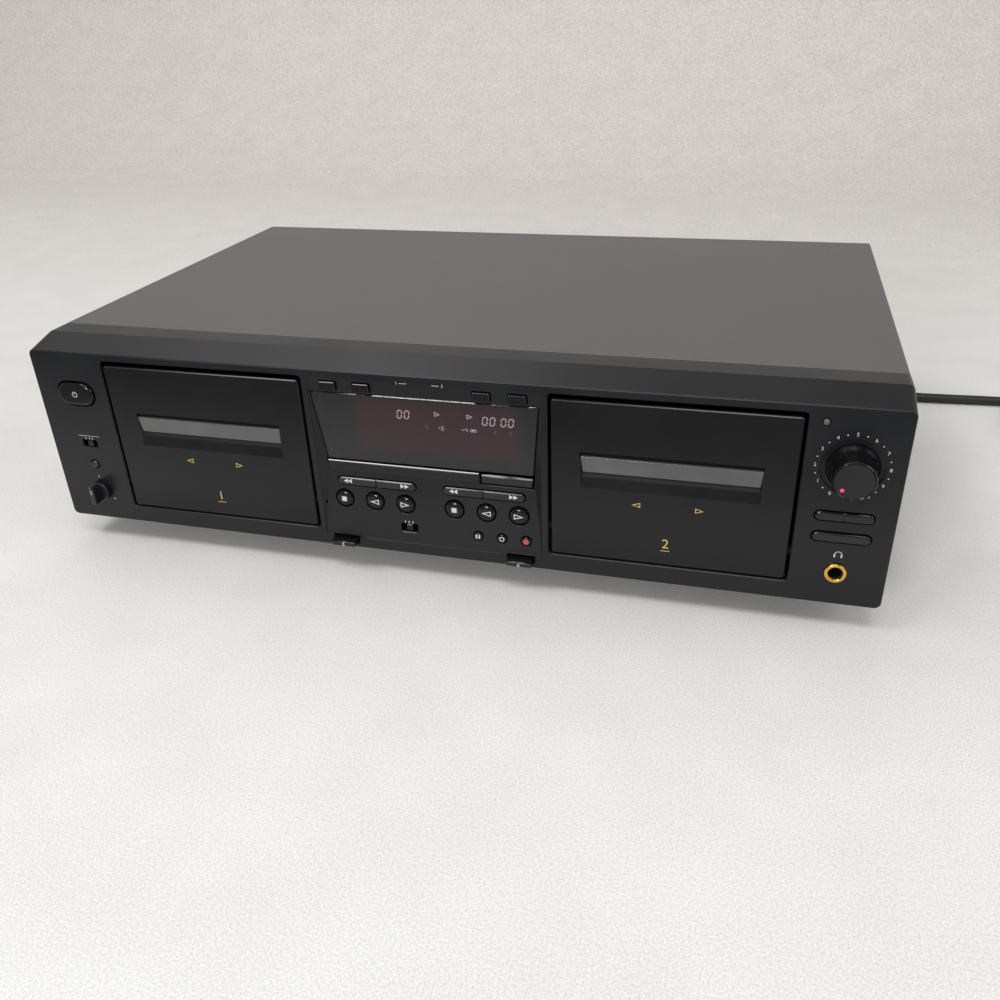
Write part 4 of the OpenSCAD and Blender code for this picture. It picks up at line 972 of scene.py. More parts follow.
@dataclass
class Studio:
    """Camera, floor and soft light."""

    camera_at: Triple = (147.0, -506.2, 265.4)
    camera_turn: Triple = (61.2985, 1.8951, 15.3014)
    lens: float = 33.2
    sensor: float = 36.0
    floor_half: float = 2200.0
    wall_y: float = 900.0
    wall_top: float = 2200.0
    curve: float = 700.0
    curve_steps: int = 12
    card_size: Pair = (4000.0, 1270.0)
    card_at: Triple = (-400.0, -815.0, 4.0)
    sky: str = "#e6e6e6"
    sky_power: float = 0.5

    # Name, place, size, power and what it points at
    LAMPS = (
        ("back_lamp", (-1200.0, 1200.0, 2300.0), (1600.0, 600.0), 6.8, (0.0, 0.0, 100.0)),
        ("ceiling_lamp", (-800.0, 400.0, 2200.0), (2400.0, 900.0), 8.0, (-800.0, 400.0, 0.0)),
        ("left_strip", (-925.0, -1000.0, 1900.0), (950.0, 400.0), 14.0, (0.0, -100.0, 50.0)),
        ("right_strip", (200.0, -1000.0, 1900.0), (800.0, 400.0), 10.0, (0.0, -100.0, 50.0)),
        ("right_fill", (1500.0, -300.0, 900.0), (900.0, 900.0), 7.0, (250.0, 0.0, 0.0)),
        ("front_lamp", (-250.0, -1580.0, 520.0), (440.0, 270.0), 14.0, (0.0, -130.0, 50.0)),
    )

    def camera(self) -> None:
        """Sets up the camera at the photograph's viewpoint."""
        data = bpy.data.cameras.new("camera")
        data.sensor_width, data.lens = self.sensor, self.lens
        data.clip_start, data.clip_end = 0.01, 20.0
        camera = linked("camera", data)
        camera.location = Vector(self.camera_at) * MM
        camera.rotation_euler = [math.radians(a) for a in self.camera_turn]
        bpy.context.scene.camera = camera

    @staticmethod
    def prop(name: str, work: Work, finish: Finish) -> Piece:
        """Makes a part of the setting of a worked mesh.

        Args:
            name: its name.
            work: the worked mesh.
            finish: its surface.

        Returns:
            The new object.
        """
        mesh = as_mesh(name, work)
        mesh.materials.append(finish.material())
        made = linked(name, mesh)
        return made

    def floor(self) -> None:
        """Makes a pale floor that curves up behind the deck."""
        line = [(-self.floor_half, 0.0), (self.wall_y, 0.0)]
        for step in range(1, self.curve_steps + 1):
            along, up = around(self.curve, 90.0 * step / self.curve_steps)
            line.append((self.wall_y + along, self.curve - up))
        line.append((self.wall_y + self.curve, self.wall_top))
        work = bmesh.new()
        verts = [work.verts.new(Vector((-self.floor_half, y, z)) * MM) for y, z in line]
        edges = [work.edges.new(pair) for pair in zip(verts, verts[1:])]
        grown = bmesh.ops.extrude_edge_only(work, edges=edges)["geom"]
        moved = [item for item in grown if isinstance(item, bmesh.types.BMVert)]
        bmesh.ops.translate(work, verts=moved, vec=(2.0 * self.floor_half * MM, 0.0, 0.0))
        bmesh.ops.recalc_face_normals(work, faces=work.faces[:])
        self.prop("floor", work, FLEECE)

    def flag(self) -> None:
        """Lays a card on the floor that only mirrors show, so that the black front stays black."""
        work = bmesh.new()
        made = rectangle(work, self.card_size[0] * MM, self.card_size[1] * MM)
        bmesh.ops.translate(work, verts=made, vec=Vector(self.card_at) * MM)
        card = self.prop("flag", work, CARD)
        card.visible_camera = card.visible_diffuse = card.visible_shadow = False

    def light(self) -> None:
        """Sets up soft lamps overhead, a low one in front and an even world."""
        world = bpy.data.worlds.new("room")
        world.use_nodes = True
        sky = world.node_tree.nodes["Background"].inputs
        sky[0].default_value, sky[1].default_value = linear(self.sky), self.sky_power
        bpy.context.scene.world = world
        for name, at, size, power, aim in self.LAMPS:
            data = bpy.data.lights.new(name, "AREA")
            data.shape = "RECTANGLE"
            data.size, data.size_y = size[0] * MM, size[1] * MM
            data.energy = power
            lamp = linked(name, data)
            lamp.location = Vector(at) * MM
            beam = Vector(aim) * MM - lamp.location
            lamp.rotation_euler = beam.to_track_quat("-Z", "Y").to_euler()
        bpy.context.scene.view_settings.view_transform = "Standard"

    def build(self) -> None:
        """Makes the whole setting."""
        self.camera()
        self.floor()
        self.flag()
        self.light()


@dataclass
class MainsLead:
    """The lead: strain relief, free stretch, neat coil with a tie, and plug."""

    diameter: float = 6.4
    pitch: float = 6.9
    inner_r: float = 28.0
    turns: int = 3
    centre: Pair = (372.0, 117.0)
    floor_z: float = 3.3
    tail: float = 28.0
    steps: int = 24
    length: float = 1786.0
    relief_x: float = 100.0
    relief_z: float = 35.0
    collar_y: float = 265.95
    relief_ribs: int = 6
    plug_w: float = 26.0
    plug_l: float = 34.0
    plug_ribs: int = 4
    neck: float = 16.0
    pin_r: float = 2.0
    pin_l: float = 19.0
    pin_step: float = 18.6
    tie_w: float = 9.0
    tie_wall: float = 0.7
    slack: float = 0.3
    clear: float = 0.05

    ROUTE = (
        (100, 164.1, 35), (100, 172, 35), (101, 181, 34), (104, 190, 31.5), (110, 198, 27.5),
        (119, 204, 22.5), (130, 207, 17), (142, 207, 12), (154, 204.5, 8), (167, 199.5, 5.2),
        (181, 192.5, 3.8), (195, 185, 3.3), (209, 178, 3.3), (223, 171.5, 3.3),
        (237, 166.5, 3.3), (252, 163.5, 3.3), (268, 162.8, 3.3), (286, 163.6, 3.3),
        (304, 164.7, 3.3), (322, 165.4, 3.3), (340, 165.7, 3.3), (352, 165.7, 3.3),
        (365.6, 165.7, 3.3),
    )
    COLLAR = ((0.0, -5.0), (4.9, -5.0), (4.9, 0.0), (7.6, 0.0), (8.0, 0.4), (8.0, 1.6),
              (7.6, 2.0), (5.5, 2.0))

    def coil_point(self, turn: float) -> Vector:
        """Gives the coil's centreline, in millimetres, at an angle from its start.

        Args:
            turn: the angle, in degrees.

        Returns:
            The place.
        """
        half = 360.0 * self.turns
        x, y = around(self.inner_r + self.pitch * abs(turn - half) / 360.0, turn)
        rise = min(max((turn - half + 90.0) / 180.0, 0.0), 1.0)
        lift = self.pitch * rise * rise * (3.0 - 2.0 * rise)
        return Vector((self.centre[0] + x, self.centre[1] + y, self.floor_z + lift))

    def beyond(self, distance: float) -> Vector:
        """Gives the place straight on from the coil's end, in millimetres."""
        return self.coil_point(720.0 * self.turns) + Vector((distance, 0.0, 0.0))

    def path(self) -> List[Vector]:
        """Lists the lead's points from the strain relief to the plug, in metres.

        Returns:
            The points.
        """
        count = 2 * self.turns * self.steps
        points = [Vector(point) for point in self.ROUTE]
        points += [self.coil_point(360.0 * i / self.steps) for i in range(count + 1)]
        return [point * MM for point in points + [self.beyond(self.tail)]]

    def build(self) -> None:
        """Makes the lead and what is on it."""
        points = self.path()
        curve = bpy.data.curves.new("mains_lead", "CURVE")
        curve.dimensions = "3D"
        spline = curve.splines.new("POLY")
        spline.points.add(len(points) - 1)
        for target, point in zip(spline.points, points):
            target.co = (*point, 1.0)
        curve.bevel_depth = self.diameter / 2.0 * MM
        curve.bevel_resolution = 4
        curve.use_fill_caps = True
        lead = put("mains_lead", curve, SHEATH, ROOT)
        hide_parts("power_cord", "power_cord_coil")
        self.relief()
        self.plug()
        self.pins()
        self.tie()

    def relief(self) -> Piece:
        """Makes the ribbed strain relief.

        Returns:
            The piece.
        """
        collar = deck(0, self.collar_y, 0).y
        end = (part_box("strain_relief")[1].y - collar) / MM
        step = (end - 5.0) / self.relief_ribs
        profile = list(self.COLLAR)
        for rib in range(self.relief_ribs):
            low = 4.0 + rib * step
            wide = 5.5 - 1.4 * (low / end)
            profile += [(wide, low), (wide, low + step * 0.55), (wide - 0.9, low + step * 0.65),
                        (wide - 0.9, low + step * 0.9)]
        profile += [(4.0, end - 0.4), (3.7, end), (0.0, end)]
        base = Vector((self.relief_x * MM, collar, self.relief_z * MM))
        return lathe("strain_relief_ribbed", profile, [base], BACKWARD, 40, RUBBER, ROOT,
                     "rubber", "strain_relief")

    def plug(self) -> Piece:
        """Makes the plug's moulded body with its ribbed neck.

        Returns:
            The piece.
        """
        axis = self.beyond(self.tail)
        base = axis * MM
        work = bmesh.new()
        made = rectangle(work, self.plug_w * MM, 2.0 * (axis.z - 0.1) * MM)
        rounded(work, made, 6.0, 6, "VERTICES")
        bmesh.ops.rotate(work, verts=work.verts[:], cent=(0, 0, 0), matrix=SIDEWAYS)
        bmesh.ops.translate(work, verts=work.verts[:], vec=base)
        bmesh.ops.solidify(work, geom=work.faces[:], thickness=self.plug_l * MM)
        low = min(vert.co.x for vert in work.verts)
        start = base.x + self.neck * MM
        bmesh.ops.translate(work, verts=work.verts[:], vec=(start - low, 0.0, 0.0))
        steep = math.radians(60.0)
        rims = [edge for edge in work.edges if edge.calc_face_angle(0.0) > steep]
        rounded(work, rims, 1.6, 4)
        profile = [(0.0, 0.0), (3.7, 0.0), (4.0, 0.4)]
        for rib in range(self.plug_ribs):
            low, wide = 1.5 + rib * 3.4, 4.3 + rib * 0.75
            profile += [(wide, low), (wide, low + 1.9), (wide - 0.8, low + 2.2),
                        (wide - 0.8, low + 3.1)]
        profile += [(7.0, self.neck - 0.5), (7.0, self.neck + 2.0), (0.0, self.neck + 2.0)]
        turned(work, profile, base, RIGHTWARD, 36)
        return shape("plug_body", work, RUBBER, ROOT, "rubber", "power_plug")

    def pins(self) -> Piece:
        """Makes the plug's two round pins.

        Returns:
            The piece.
        """
        axis = self.beyond(self.tail + self.neck + self.plug_l)
        r, end = self.pin_r, self.pin_l
        profile = [(0.0, -2.0), (r, -2.0), (r, end - 1.4), (r * 0.75, end - 0.4), (r * 0.3, end),
                   (0.0, end)]
        centres = [(axis + BACKWARD * side * self.pin_step) * MM for side in (-0.5, 0.5)]
        return lathe("plug_pins", profile, centres, RIGHTWARD, 24, BRIGHT, ROOT, "bright_steel")

    def tie(self) -> Piece:
        """Makes the band that holds the coil together, on its side away from the plug.

        Returns:
            The piece.
        """
        margin = self.diameter / 2.0 + self.slack
        inner = self.inner_r - margin
        outer = self.inner_r + self.turns * self.pitch + margin
        top = self.floor_z + self.pitch + margin
        work = bmesh.new()
        made = rectangle(work, (outer - inner) * MM, (top - self.clear) * MM)
        rounded(work, made, 3.0, 5, "VERTICES")
        framed(work, work.faces[:], self.tie_wall * MM)
        bmesh.ops.solidify(work, geom=work.faces[:], thickness=self.tie_w * MM)
        bmesh.ops.rotate(work, verts=work.verts[:], cent=(0, 0, 0), matrix=SIDEWAYS)
        low = min(vert.co.x for vert in work.verts)
        middle = Vector((self.centre[0] - self.tie_w / 2.0,
                         self.centre[1] - (inner + outer) / 2.0, (top + self.clear) / 2.0)) * MM
        bmesh.ops.translate(work, verts=work.verts[:], vec=middle - RIGHTWARD * low)
        return shape("lead_tie", work, RUBBER, ROOT, "rubber")


@dataclass
class Case:
    """Cover, chassis, back, feet and screws."""

    foot_r: float = 15.0
    foot_h: float = 17.5
    floor_z: float = -15.0
    foot_x: float = 170.0
    foot_rows: Pair = (52.0, 215.5)
    jack_x: float = -140.0
    jack_z: float = 26.0
    jack_step: float = 14.0
    jack_end: float = 277.0
    plate_size: Triple = (32.1, 1.6, 30.1)
    plate_y: float = 266.75

    INSULATOR = ((1.75, -0.3), (1.75, 0.05), (3.1, 0.05), (3.3, -0.3), (1.75, -0.3))

    def build(self) -> None:
        """Makes the case."""
        for node, finish, slot, edge in (
                ("top_cover", COVER_PAINT, "cover_paint", 0.25),
                ("rear_panel", REAR_PAINT, "cover_paint", 0.2),
                ("bottom_chassis", ZINC, "zinc_steel", 0.2),
                ("case_screws", BLACK_SCREW, "bright_steel", 0.15),
                ("line_jacks", GOLD, "gold", 0.2)):
            softened(node, finish, ROOT, edge)
        self.feet()
        self.jack_plate()
        for name, column, finish in (("red", -0.5, RED_SHELL), ("white", 0.5, WHITE_SHELL)):
            ends = [deck(self.jack_x + column * self.jack_step, self.jack_end,
                         self.jack_z + row * self.jack_step) for row in (0, 1)]
            lathe(f"jack_insulators_{name}", self.INSULATOR, ends, BACKWARD, 32, finish, ROOT,
                  "gold")
        dressed("main_board", BOARD)

    def feet(self) -> None:
        """Makes the feet, each with a ring groove and a soft pad."""
        r, h = self.foot_r, self.foot_h
        profile = [(0.0, 0.3), (r - 4.0, 0.3), (r - 3.6, 0.0), (r - 1.5, 0.0), (r - 0.4, 0.4),
                   (r, 1.5), (r, 3.0), (r - 0.6, 3.4), (r - 0.6, 4.0), (r - 0.1, 4.4),
                   (r - 0.5, 7.0), (r - 1.9, h - 0.4), (r - 2.2, h), (0.0, h)]
        places = [deck(x, y, self.floor_z) for y in self.foot_rows
                  for x in (-self.foot_x, self.foot_x)]
        lathe("feet_turned", profile, places, UPWARD, 56, RUBBER, ROOT, "rubber", "feet")

    def jack_plate(self) -> None:
        """Makes the moulded plate that the line jacks come through."""
        work = bmesh.new()
        made = bmesh.ops.create_cube(work, size=MM)["verts"]
        bmesh.ops.scale(work, vec=self.plate_size, verts=made)
        rounded(work, work.edges[:], 0.35, 2)
        centre = deck(self.jack_x, self.plate_y, self.jack_z + self.jack_step / 2.0)
        bmesh.ops.translate(work, verts=work.verts[:], vec=centre)
        shape("jack_plate", work, KNOB_FACE, ROOT, "panel_plastic")


@dataclass
class FrontPanel:
    """The moulded front with its prints, socket and lamp."""

    scale_r: float = 15.25
    scale_first: float = -150.0
    scale_step: float = 30.0
    pitch_r: float = 8.3
    phones_z: float = 17.0
    phones_mark_z: float = 26.4
    lamp_at: Pair = (180.3, 90.0)
    trim_span: Pair = (-53.1, 25.8)
    trim_h: float = 0.5
    trim_t: float = 0.3
    trim_at: Pair = (3.67, 47.97)
    trim_tilt: float = -45.0
    counter_z: float = 93.4
    slide_x: float = COLUMN_LEFT + 0.3
    console_ticks: Pair = (-11.6, 17.8)

    LENS = ((1.3, -0.6), (1.3, 0.2), (1.1, 0.42), (0.7, 0.56), (0.0, 0.62))
    SOCKET = ((3.19, 0.4), (3.0, 0.2), (2.95, -28.0), (0.0, -28.0), (0.0, -28.6), (3.19, -28.6),
              (3.19, 0.4))

    def build(self) -> None:
        """Makes the front."""
        softened("front_panel", PANEL_ABS, ROOT, 0.45, 1, 5.9)
        softened("headphone_jack", GOLD, ROOT, 0.5, 4)
        dressed("control_board", BOARD)
        lathe("lamp_lens", self.LENS, [deck(self.lamp_at[0], 0.0, self.lamp_at[1])], OUTWARD, 32,
              LAMP, ROOT, "key_gloss")
        # Painted shade: a near-black sleeve in the headphone socket
        lathe("socket_painted_shade", self.SOCKET, [deck(COLUMN_RIGHT, 0.0, self.phones_z)], OUTWARD, 40,
              PAINTED_SHADE_LINING, ROOT, "key_gloss")
        self.trim()
        self.prints()

    def trim(self) -> None:
        """Makes the slanted gloss trim in the groove over the ledge."""
        left, right = self.trim_span
        work = bmesh.new()
        made = bmesh.ops.create_cube(work, size=1.0)["verts"]
        bmesh.ops.scale(work, vec=(right - left, self.trim_h, self.trim_t), verts=made)
        bmesh.ops.translate(work, verts=made, vec=(0.0, 0.0, -self.trim_t / 2.0))
        place = facing((left + right) / 2.0, *self.trim_at, self.trim_tilt)
        bmesh.ops.transform(work, matrix=place, verts=made)
        shape("ledge_trim", work, TRIM_GLOSS, ROOT, "panel_plastic")

    def prints(self) -> None:
        """Prints the dial scale, switch ticks and universal marks."""
        sheet = PrintSheet("panel_print", PRINT_GREY, ROOT, "panel_plastic")
        dial = facing(COLUMN_RIGHT, 0.0, LEVEL_Z)
        for number in range(11):
            angle = self.scale_first + self.scale_step * number
            sheet.figure(dial, around(self.scale_r, angle), str(number), 1.7)
            if number < 10:
                between = angle + self.scale_step / 2.0
                sheet.polygon(dial, around(self.scale_r, between), 0.3, 12)
        for x in (-2.0, 0.1, 1.9):
            sheet.bar(facing(self.slide_x, 0.0, 48.7), (x, 0.0), (0.35, 1.2))
        pitch = facing(COLUMN_LEFT, 0.0, PITCH_Z)
        for angle in (-90.0, 0.0, 125.0):
            sheet.bar(pitch, around(self.pitch_r, angle), (0.4, 1.1), -angle)
        ears = facing(COLUMN_RIGHT, 0.0, self.phones_mark_z)
        sheet.polygon(ears, MIDDLE, 1.75, 32, stroke=0.35, upper=True)
        for way in (-1.0, 1.0):
            sheet.bar(ears, (way * 1.5, -0.6), (0.75, 1.5))
        counter = facing(0.0, 0.0, self.counter_z)
        for side in Side:
            sheet.bar(counter, (side.way * 8.0, 0.0), (3.6, 0.22))
            sheet.figure(counter, (side.way * 11.3, 0.0), side.number, 1.5)
        sheet.bar(facing(self.slide_x, 0.0, 50.2), MIDDLE, (13.0, 0.18))
        sheet.press()
        field = PrintSheet("console_print", PRINT_GREY, ROOT, "panel_plastic")
        across, z = self.console_ticks
        for x in (-2.0, 0.0, 2.0):
            field.bar(facing(across, field_y(z), z, FIELD_TILT), (x, 0.0), (0.4, 1.3))
        field.press()


@dataclass
class Display:
    """Smoked window and the lit figures behind it."""

    plane_y: float = 8.6
    face_size: Pair = (103.0, 35.0)
    face_z: float = 68.5
    face_gap: float = 0.3
    face_t: float = 0.2
    figure_h: float = 4.0
    figure_w: float = 2.2
    stroke: float = 0.42
    lean: float = 0.12

    SEGMENTS = {"0": "abcdef", "6": "acdefg", "4": "bcfg", "8": "abcdefg"}
    # Middle, in halves of the width and quarters of the height, of each upright and level bar
    UPRIGHT = {"b": (1, 1), "c": (1, -1), "f": (-1, 1), "e": (-1, -1)}
    LEVEL = {"a": (0, 2), "g": (0, 0), "d": (0, -2)}
    # Character, place, size against a full figure
    LIT = tuple(("0", x, z, 1.0) for x, z in (
        (-14.2, 74.3), (-10.5, 74.3), (28.9, 74.15), (32.65, 74.15), (38.0, 74.15),
        (41.66, 74.15)))
    SMALL = (("6", 7.6, 68.7, 0.5), ("4", 19.4, 68.7, 0.5))
    # Unlit figures: full eights, shown by a painted glow
    DIM = tuple(("8", x, 68.6, 0.4) for x in (-0.5, 33.7, 41.4))

    def build(self) -> None:
        """Makes the window, the face of the tube and the figures."""
        softened("display_window", SMOKE, ROOT, 0.4, 1)
        work = bmesh.new()
        made = rectangle(work, *self.face_size)
        place = facing(0.0, self.plane_y + self.face_gap, self.face_z)
        bmesh.ops.transform(work, matrix=place, verts=made)
        bmesh.ops.solidify(work, geom=work.faces[:], thickness=self.face_t * MM)
        shape("display_face", work, TUBE, ROOT, "smoke")
        lit = PrintSheet("display_figures", SEGMENT, ROOT, "smoke")
        for row in self.LIT:
            self.digit(lit, *row)
        for x in (4.63, 20.9):
            lit.polygon(facing(x, self.plane_y, 75.7), MIDDLE, 1.9, 3, -90.0, 0.75, 0.27)
        for name, x, z, size in self.SMALL:
            self.digit(lit, name, x, z, size)
            lit.bar(facing(x - 1.7, self.plane_y, z), MIDDLE, (0.9, 0.3))
        for x in (22.2, 23.7):
            lit.polygon(facing(x, self.plane_y, 68.7), MIDDLE, 0.8, 20, stroke=0.28)
        lit.press()
        dim = PrintSheet("display_unlit_figures", UNLIT_FIGURE_GLOW, ROOT, "smoke")
        for row in self.DIM:
            self.digit(dim, *row)
        dim.press()

    def digit(self, sheet: PrintSheet, name: str, x: float, z: float, size: float) -> None:
        """Draws one figure of seven bars.

        Args:
            sheet: the sheet to draw on.
            name: which figure.
            x, z: the figure's middle.
            size: its size against a full figure.
        """
        plane = facing(x, self.plane_y, z)
        w, h, s = self.figure_w * size, self.figure_h * size, self.stroke * size
        for key in self.SEGMENTS[name]:
            level = key in self.LEVEL
            across, up = (self.LEVEL if level else self.UPRIGHT)[key]
            u, v = across * w / 2, up * h / 4
            span = (w - s * 1.3, s) if level else (s, h / 2 - s * 1.2)
            turn = 0.0 if level else -math.degrees(math.atan(self.lean))
            sheet.bar(plane, (u + v * self.lean, v), span, turn)


@dataclass
class Door:
    """One cassette door with its pane, holder and prints."""

    side: Side

    def build(self) -> None:
        """Makes the door."""
        tag, x = self.side.value, self.side.way * DECK_X
        body = f"door_{tag}"
        softened(body, DOOR_ABS, body, 0.45, 1, 7.3)
        softened(f"door_window_{tag}", PANE, body, 0.15)
        softened(f"cassette_holder_{tag}", BLACK_ZINC, body, 0.15)
        sheet = PrintSheet(f"door_print_{tag}", PRINT_GOLD, body, "panel_plastic")
        for way in (-1.0, 1.0):
            sheet.polygon(facing(x, 0.0, 41.4), (way * 13.8, 0.0), 2.6, 3, -90.0 * way, 0.6, 0.36)
        sheet.figure(facing(x, 0.0, 21.9), MIDDLE, self.side.number, 5.0)
        sheet.bar(facing(x, 0.0, 18.3), MIDDLE, (4.4, 0.35))
        sheet.press()


class Mark(Enum):
    """Universal marks on the round keys, by the start of the keys' names."""

    STOP = "stop"
    REVERSE = "reverse"
    PLAY = "play"
    PAUSE = "pause"
    MUTE = "record_mute"
    RECORD = "record"


@dataclass(frozen=True)
class RoundKey:
    """A kind of round key: its height, diameter, the gap round it and its face's depth."""

    z: float
    d: float
    gap: float
    face: float


@dataclass
class Keys:
    """The round keys, bars, rockers, tabs and switches with their marks."""

    large: RoundKey = RoundKey(27.5, 8.8, 0.9, 1.22)
    large_x: float = 29.4
    large_step: float = 16.5
    small: RoundKey = RoundKey(14.4, 4.8, 0.6, 0.3)
    small_x: float = 24.9
    small_step: float = 12.3
    search_x: float = 28.0
    search_z: float = 37.2
    search_face: float = 2.32
    arrow_x: float = 13.83
    arrow_step: float = 2.15
    eject_x: float = 46.7
    eject_face: float = -5.2
    eject_z: float = 4.1
    power_face: float = -1.6
    power_z: float = 74.6
    flange_y: float = 7.8
    flange_t: float = 1.2
    flange_lap: float = 0.4
    stem_r: float = 1.5

    RIM = ((1.0, 0.3), (1.0, 0.18), (0.929, 0.117), (0.847, 0.067), (0.758, 0.03),
           (0.664, 0.0076), (0.568, 0.0))
    # From the edge of a well: across, and along it
    WELL = ((-0.12, -0.06), (-0.02, -0.06), (-0.02, -3.6), (-0.12, -3.6), (-0.12, -0.06))

    def rounds(self) -> List[Tuple[str, Mark, float, RoundKey]]:
        """Lists the round keys.

        Returns:
            Node, mark, place across and kind of each.
        """
        rows = [(f"{mark.value}_{side.value}", mark,
                 side.way * self.large_x + step * self.large_step, self.large)
                for side in Side
                for step, mark in ((-1.0, Mark.STOP), (0.0, Mark.REVERSE), (1.0, Mark.PLAY))]
        return rows + [(mark.value + "_button", mark, self.small_x + step * self.small_step,
                        self.small)
                       for step, mark in enumerate((Mark.PAUSE, Mark.MUTE, Mark.RECORD))]

    def build(self) -> None:
        """Makes the keys."""
        for node, mark, x, kind in self.rounds():
            self.dome(node, x, kind)
            self.mark(node, mark, facing(x, kind.face, kind.z))
        for side in Side:
            for node in (f"counter_reset_{side.value}", f"counter_memory_{side.value}"):
                softened(node, KEY_SATIN, node, 0.25, 1)
            self.search(side)
            self.eject(side)
        softened("dubbing_button", KEY_SATIN, "dubbing_button", 0.8, 1)
        for node in ("synchro_button", "fade_level_rocker", "pitch_switch"):
            softened(node, KEY_SATIN, node, 1.2, 4)
        for node in ("direction_switch", "noise_switch"):
            softened(node, KEY_GLOSS, node, 0.3, 1)
        self.power()
        self.wells()

    def wells(self) -> None:
        """Lines the wells of the round keys with painted shade, whose mouths follow the slope of
        the field.
        """
        work = bmesh.new()
        for _, _, x, kind in self.rounds():
            before = set(work.verts)
            r = kind.d / 2.0 + kind.gap
            turned(work, [(r + across, along) for across, along in self.WELL],
                   deck(x, field_y(kind.z), kind.z), OUTWARD, 48)
            shear = Matrix.Identity(4)
            shear[1][2] = FIELD_SLOPE
            shear[1][3] = -FIELD_SLOPE * deck(x, 0.0, kind.z).z
            made = [vert for vert in work.verts if vert not in before]
            bmesh.ops.transform(work, matrix=shear, verts=made)
        shape("key_wells_painted_shade", work, PAINTED_SHADE_LINING, ROOT, "panel_plastic")

    def dome(self, node: str, x: float, kind: RoundKey) -> None:
        """Makes a polished round key with a flat face and a rounded rim.

        Args:
            node: the node that it stands for, which is also its body.
            x: its place across.
            kind: its sizes.
        """
        axis = deck(x, self.flange_y, kind.z)
        inner = (axis.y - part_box(node)[1].y) / MM
        r, high = kind.d / 2.0, self.flange_y - kind.face
        flange = r + kind.gap + self.flange_lap
        profile = [(0.0, inner), (self.stem_r, inner), (self.stem_r, -self.flange_t),
                   (flange, -self.flange_t), (flange, 0.0), (r, 0.0)]
        profile += [(r * across, high - r * down) for across, down in self.RIM]
        lathe(node + "_dome", profile + [(0.0, high)], [axis], OUTWARD, 56, KEY_GLOSS, node,
              "key_gloss", node)

    def mark(self, body: str, mark: Mark, plane: Matrix) -> None:
        """Prints a universal mark on a key.

        Args:
            body: the key.
            mark: which mark.
            plane: the key's face.
        """
        ink = PRINT_RED if mark is Mark.RECORD else PRINT_WHITE
        sheet = PrintSheet(body + "_mark", ink, body, "key_gloss")
        if mark is Mark.STOP:
            sheet.bar(plane, MIDDLE, (2.6, 2.6))
        elif mark in (Mark.REVERSE, Mark.PLAY):
            way = -1.0 if mark is Mark.REVERSE else 1.0
            sheet.polygon(plane, (-0.8 * way, 0.0), 3.2, 3, -90.0 * way, 0.54, 0.45)
        elif mark is Mark.PAUSE:
            for x in (-0.75, 0.75):
                sheet.bar(plane, (x, 0.0), (0.8, 2.2))
        elif mark is Mark.MUTE:
            sheet.polygon(plane, MIDDLE, 1.3, 28, stroke=0.42)
        else:
            sheet.polygon(plane, MIDDLE, 1.5, 28)
        sheet.press()

    def search(self, side: Side) -> None:
        """Makes a track search rocker with its double arrows.

        Args:
            side: which deck's.
        """
        node = f"search_rocker_{side.value}"
        softened(node, KEY_SATIN, node, 0.45, 1)
        sheet = PrintSheet(node + "_mark", PRINT_WHITE, node, "key_gloss")
        plane = facing(side.way * self.search_x, self.search_face, self.search_z)
        for way in (-1.0, 1.0):
            for shift in (0.0, self.arrow_step):
                at = (way * (self.arrow_x + shift), 0.3)
                sheet.polygon(plane, at, 1.43, 3, -90.0 * way, 0.97)
        sheet.press()

    def eject(self, side: Side) -> None:
        """Makes an eject tab with its mark.

        Args:
            side: which deck's.
        """
        node = f"eject_{side.value}"
        softened(node, KEY_SATIN, node, 0.5, 1)
        sheet = PrintSheet(node + "_mark", PRINT_GREY, node, "panel_plastic")
        plane = facing(side.way * self.eject_x, self.eject_face, self.eject_z)
        sheet.polygon(plane, (0.0, 0.15), 0.9, 3, 0.0, 0.8, 0.25)
        sheet.bar(plane, (0.0, -0.75), (1.5, 0.25))
        sheet.press()

    def power(self) -> None:
        """Makes the power button with its mark."""
        node = "power_button"
        softened(node, KEY_GLOSS, node, 1.6, 5)
        sheet = PrintSheet("power_mark", PRINT_GREY, node, "panel_plastic")
        plane = facing(COLUMN_LEFT, self.power_face, self.power_z)
        sheet.polygon(plane, MIDDLE, 1.5, 32, stroke=0.32)
        sheet.bar(plane, (0.0, 0.9), (0.36, 1.7))
        sheet.press()


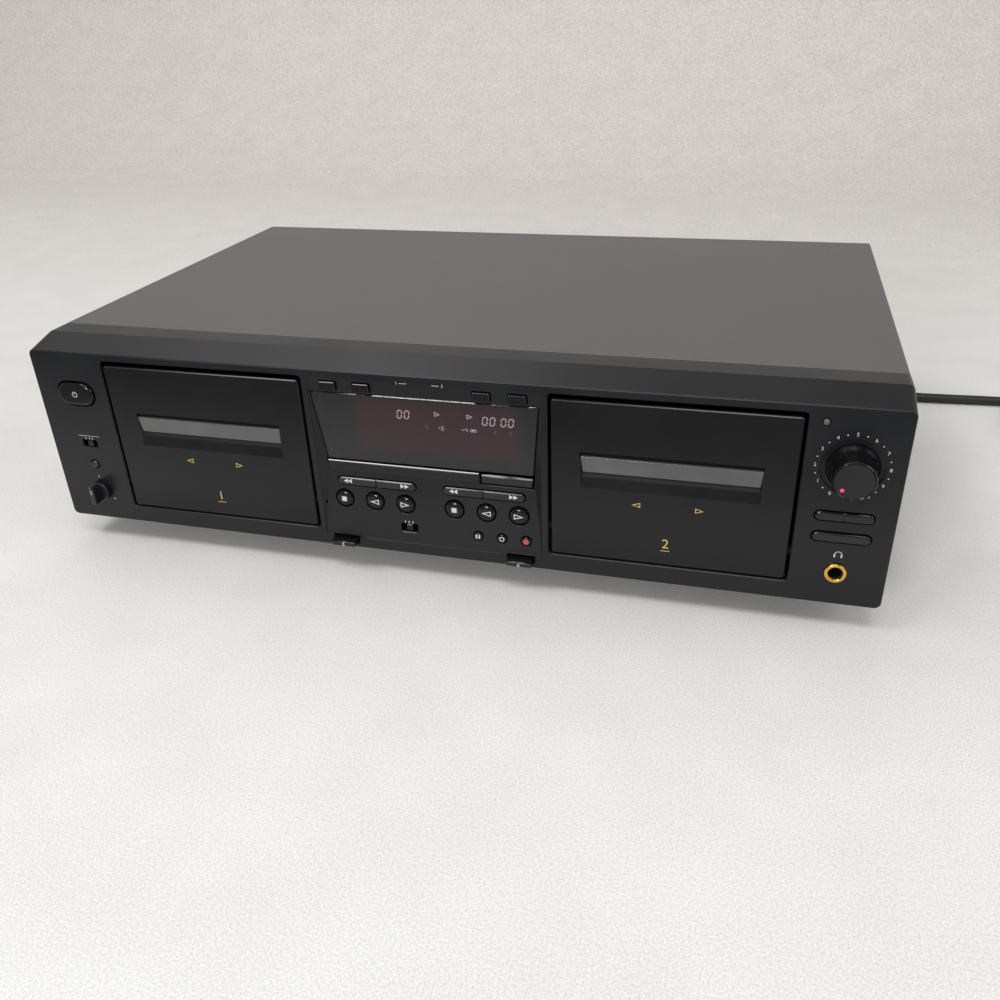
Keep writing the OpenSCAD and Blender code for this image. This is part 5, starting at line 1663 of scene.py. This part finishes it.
@dataclass
class Knobs:
    """The level knob and the pitch knob."""

    level_r: float = 9.0
    level_foot_r: float = 11.0
    level_out: float = 14.0
    level_foot: float = 1.1
    dish_r: float = 13.58
    dot_r: float = 0.85
    dot_at: float = 6.1
    dot_turn: float = -135.0
    face_sunk: float = 0.24
    pitch_face: float = -9.0

    def build(self) -> None:
        """Makes both knobs."""
        foot, r, base, dish = self.level_foot, self.level_r, self.level_foot_r, self.dish_r
        top = foot + self.level_out
        dress = ("level_knob", "panel_plastic")
        axis = [deck(COLUMN_RIGHT, foot, LEVEL_Z)]
        profile = [(0.0, 0.0), (base - 0.3, 0.0), (base, 0.3), (base, 2.2), (base - 0.3, 2.8),
                   (r + 0.75, 4.3), (r + 0.55, 4.8), (r + 0.05, top - 0.9), (r - 0.15, top - 0.4),
                   (r - 0.45, top - 0.05), (r - 0.7, top), (r - 0.95, top - 0.3),
                   (0.0, top - 0.3)]
        lathe("level_knob_turned", profile, axis, OUTWARD, 96, KEY_GLOSS, *dress,
              node="level_knob", crease=30.0)
        face = top - self.face_sunk
        profile = [(0.0, face - 0.2), (r - 1.0, face - 0.2), (r - 1.0, face - 0.04),
                   (r - 1.04, face), (0.0, face)]
        lathe("level_knob_face", profile, axis, OUTWARD, 64, KNOB_FACE, *dress)
        sheet = PrintSheet("level_knob_dot", LEVEL_DOT, *dress)
        sheet.polygon(facing(COLUMN_RIGHT, foot - face, LEVEL_Z),
                      around(self.dot_at, self.dot_turn), self.dot_r, 28)
        sheet.press()
        # Painted shade: a near-black lining in the dish round the knob
        profile = [(r, -1.48), (dish, -1.48), (dish, -0.03), (dish - 0.18, -0.03),
                   (dish - 0.28, -1.2), (dish - 0.58, -1.4), (r, -1.4), (r, -1.48)]
        lathe("level_dish_painted_shade", profile, [deck(COLUMN_RIGHT, 0.0, LEVEL_Z)], OUTWARD, 96,
              PAINTED_SHADE_LINING, ROOT, "panel_plastic")
        softened("pitch_knob", KNOB_FACE, "pitch_knob", 0.45, 3)
        line = PrintSheet("pitch_knob_line", PRINT_GREY, "pitch_knob", "panel_plastic")
        line.bar(facing(COLUMN_LEFT, self.pitch_face, PITCH_Z), (0.0, 2.6), (0.4, 2.6))
        line.press()


@dataclass
class Transport:
    """One tape transport behind its door."""

    side: Side

    def build(self) -> None:
        """Dresses the transport's reels, flywheels and head carriage."""
        tag = self.side.value
        for end in ("left", "right"):
            reel, flywheel = f"reel_{tag}_{end}", f"flywheel_{tag}_{end}"
            softened(reel, IVORY, reel, 0.25)
            softened(flywheel, BRIGHT, flywheel, 0.3)
        carriage = f"head_carriage_{tag}"
        softened(carriage, HEAD_METAL, carriage, 0.25)


@dataclass
class Drive:
    """Frames, motors and belts that both transports share, left with their own edges."""

    def build(self) -> None:
        """Dresses the frames, motors and belts."""
        for node, finish, slot in (("transport_frames", BLACK_ZINC, "zinc_steel"),
                                   ("drive_motors", BRIGHT, "zinc_steel"),
                                   ("drive_belts", RUBBER, "rubber")):
            softened(node, finish, ROOT, 0.0)


def main() -> None:
    """Builds the setting and the deck in order."""
    logging.basicConfig(level=logging.INFO, format="%(name)s %(message)s")
    for assembly in (Studio(), MainsLead(), Case(), FrontPanel(), Display(), Door(Side.A),
                     Door(Side.B), Keys(), Knobs(), Transport(Side.A), Transport(Side.B),
                     Drive()):
        assembly.build()
        LOG.info("%s built", type(assembly).__name__)


if __name__ == "__main__":
    main()
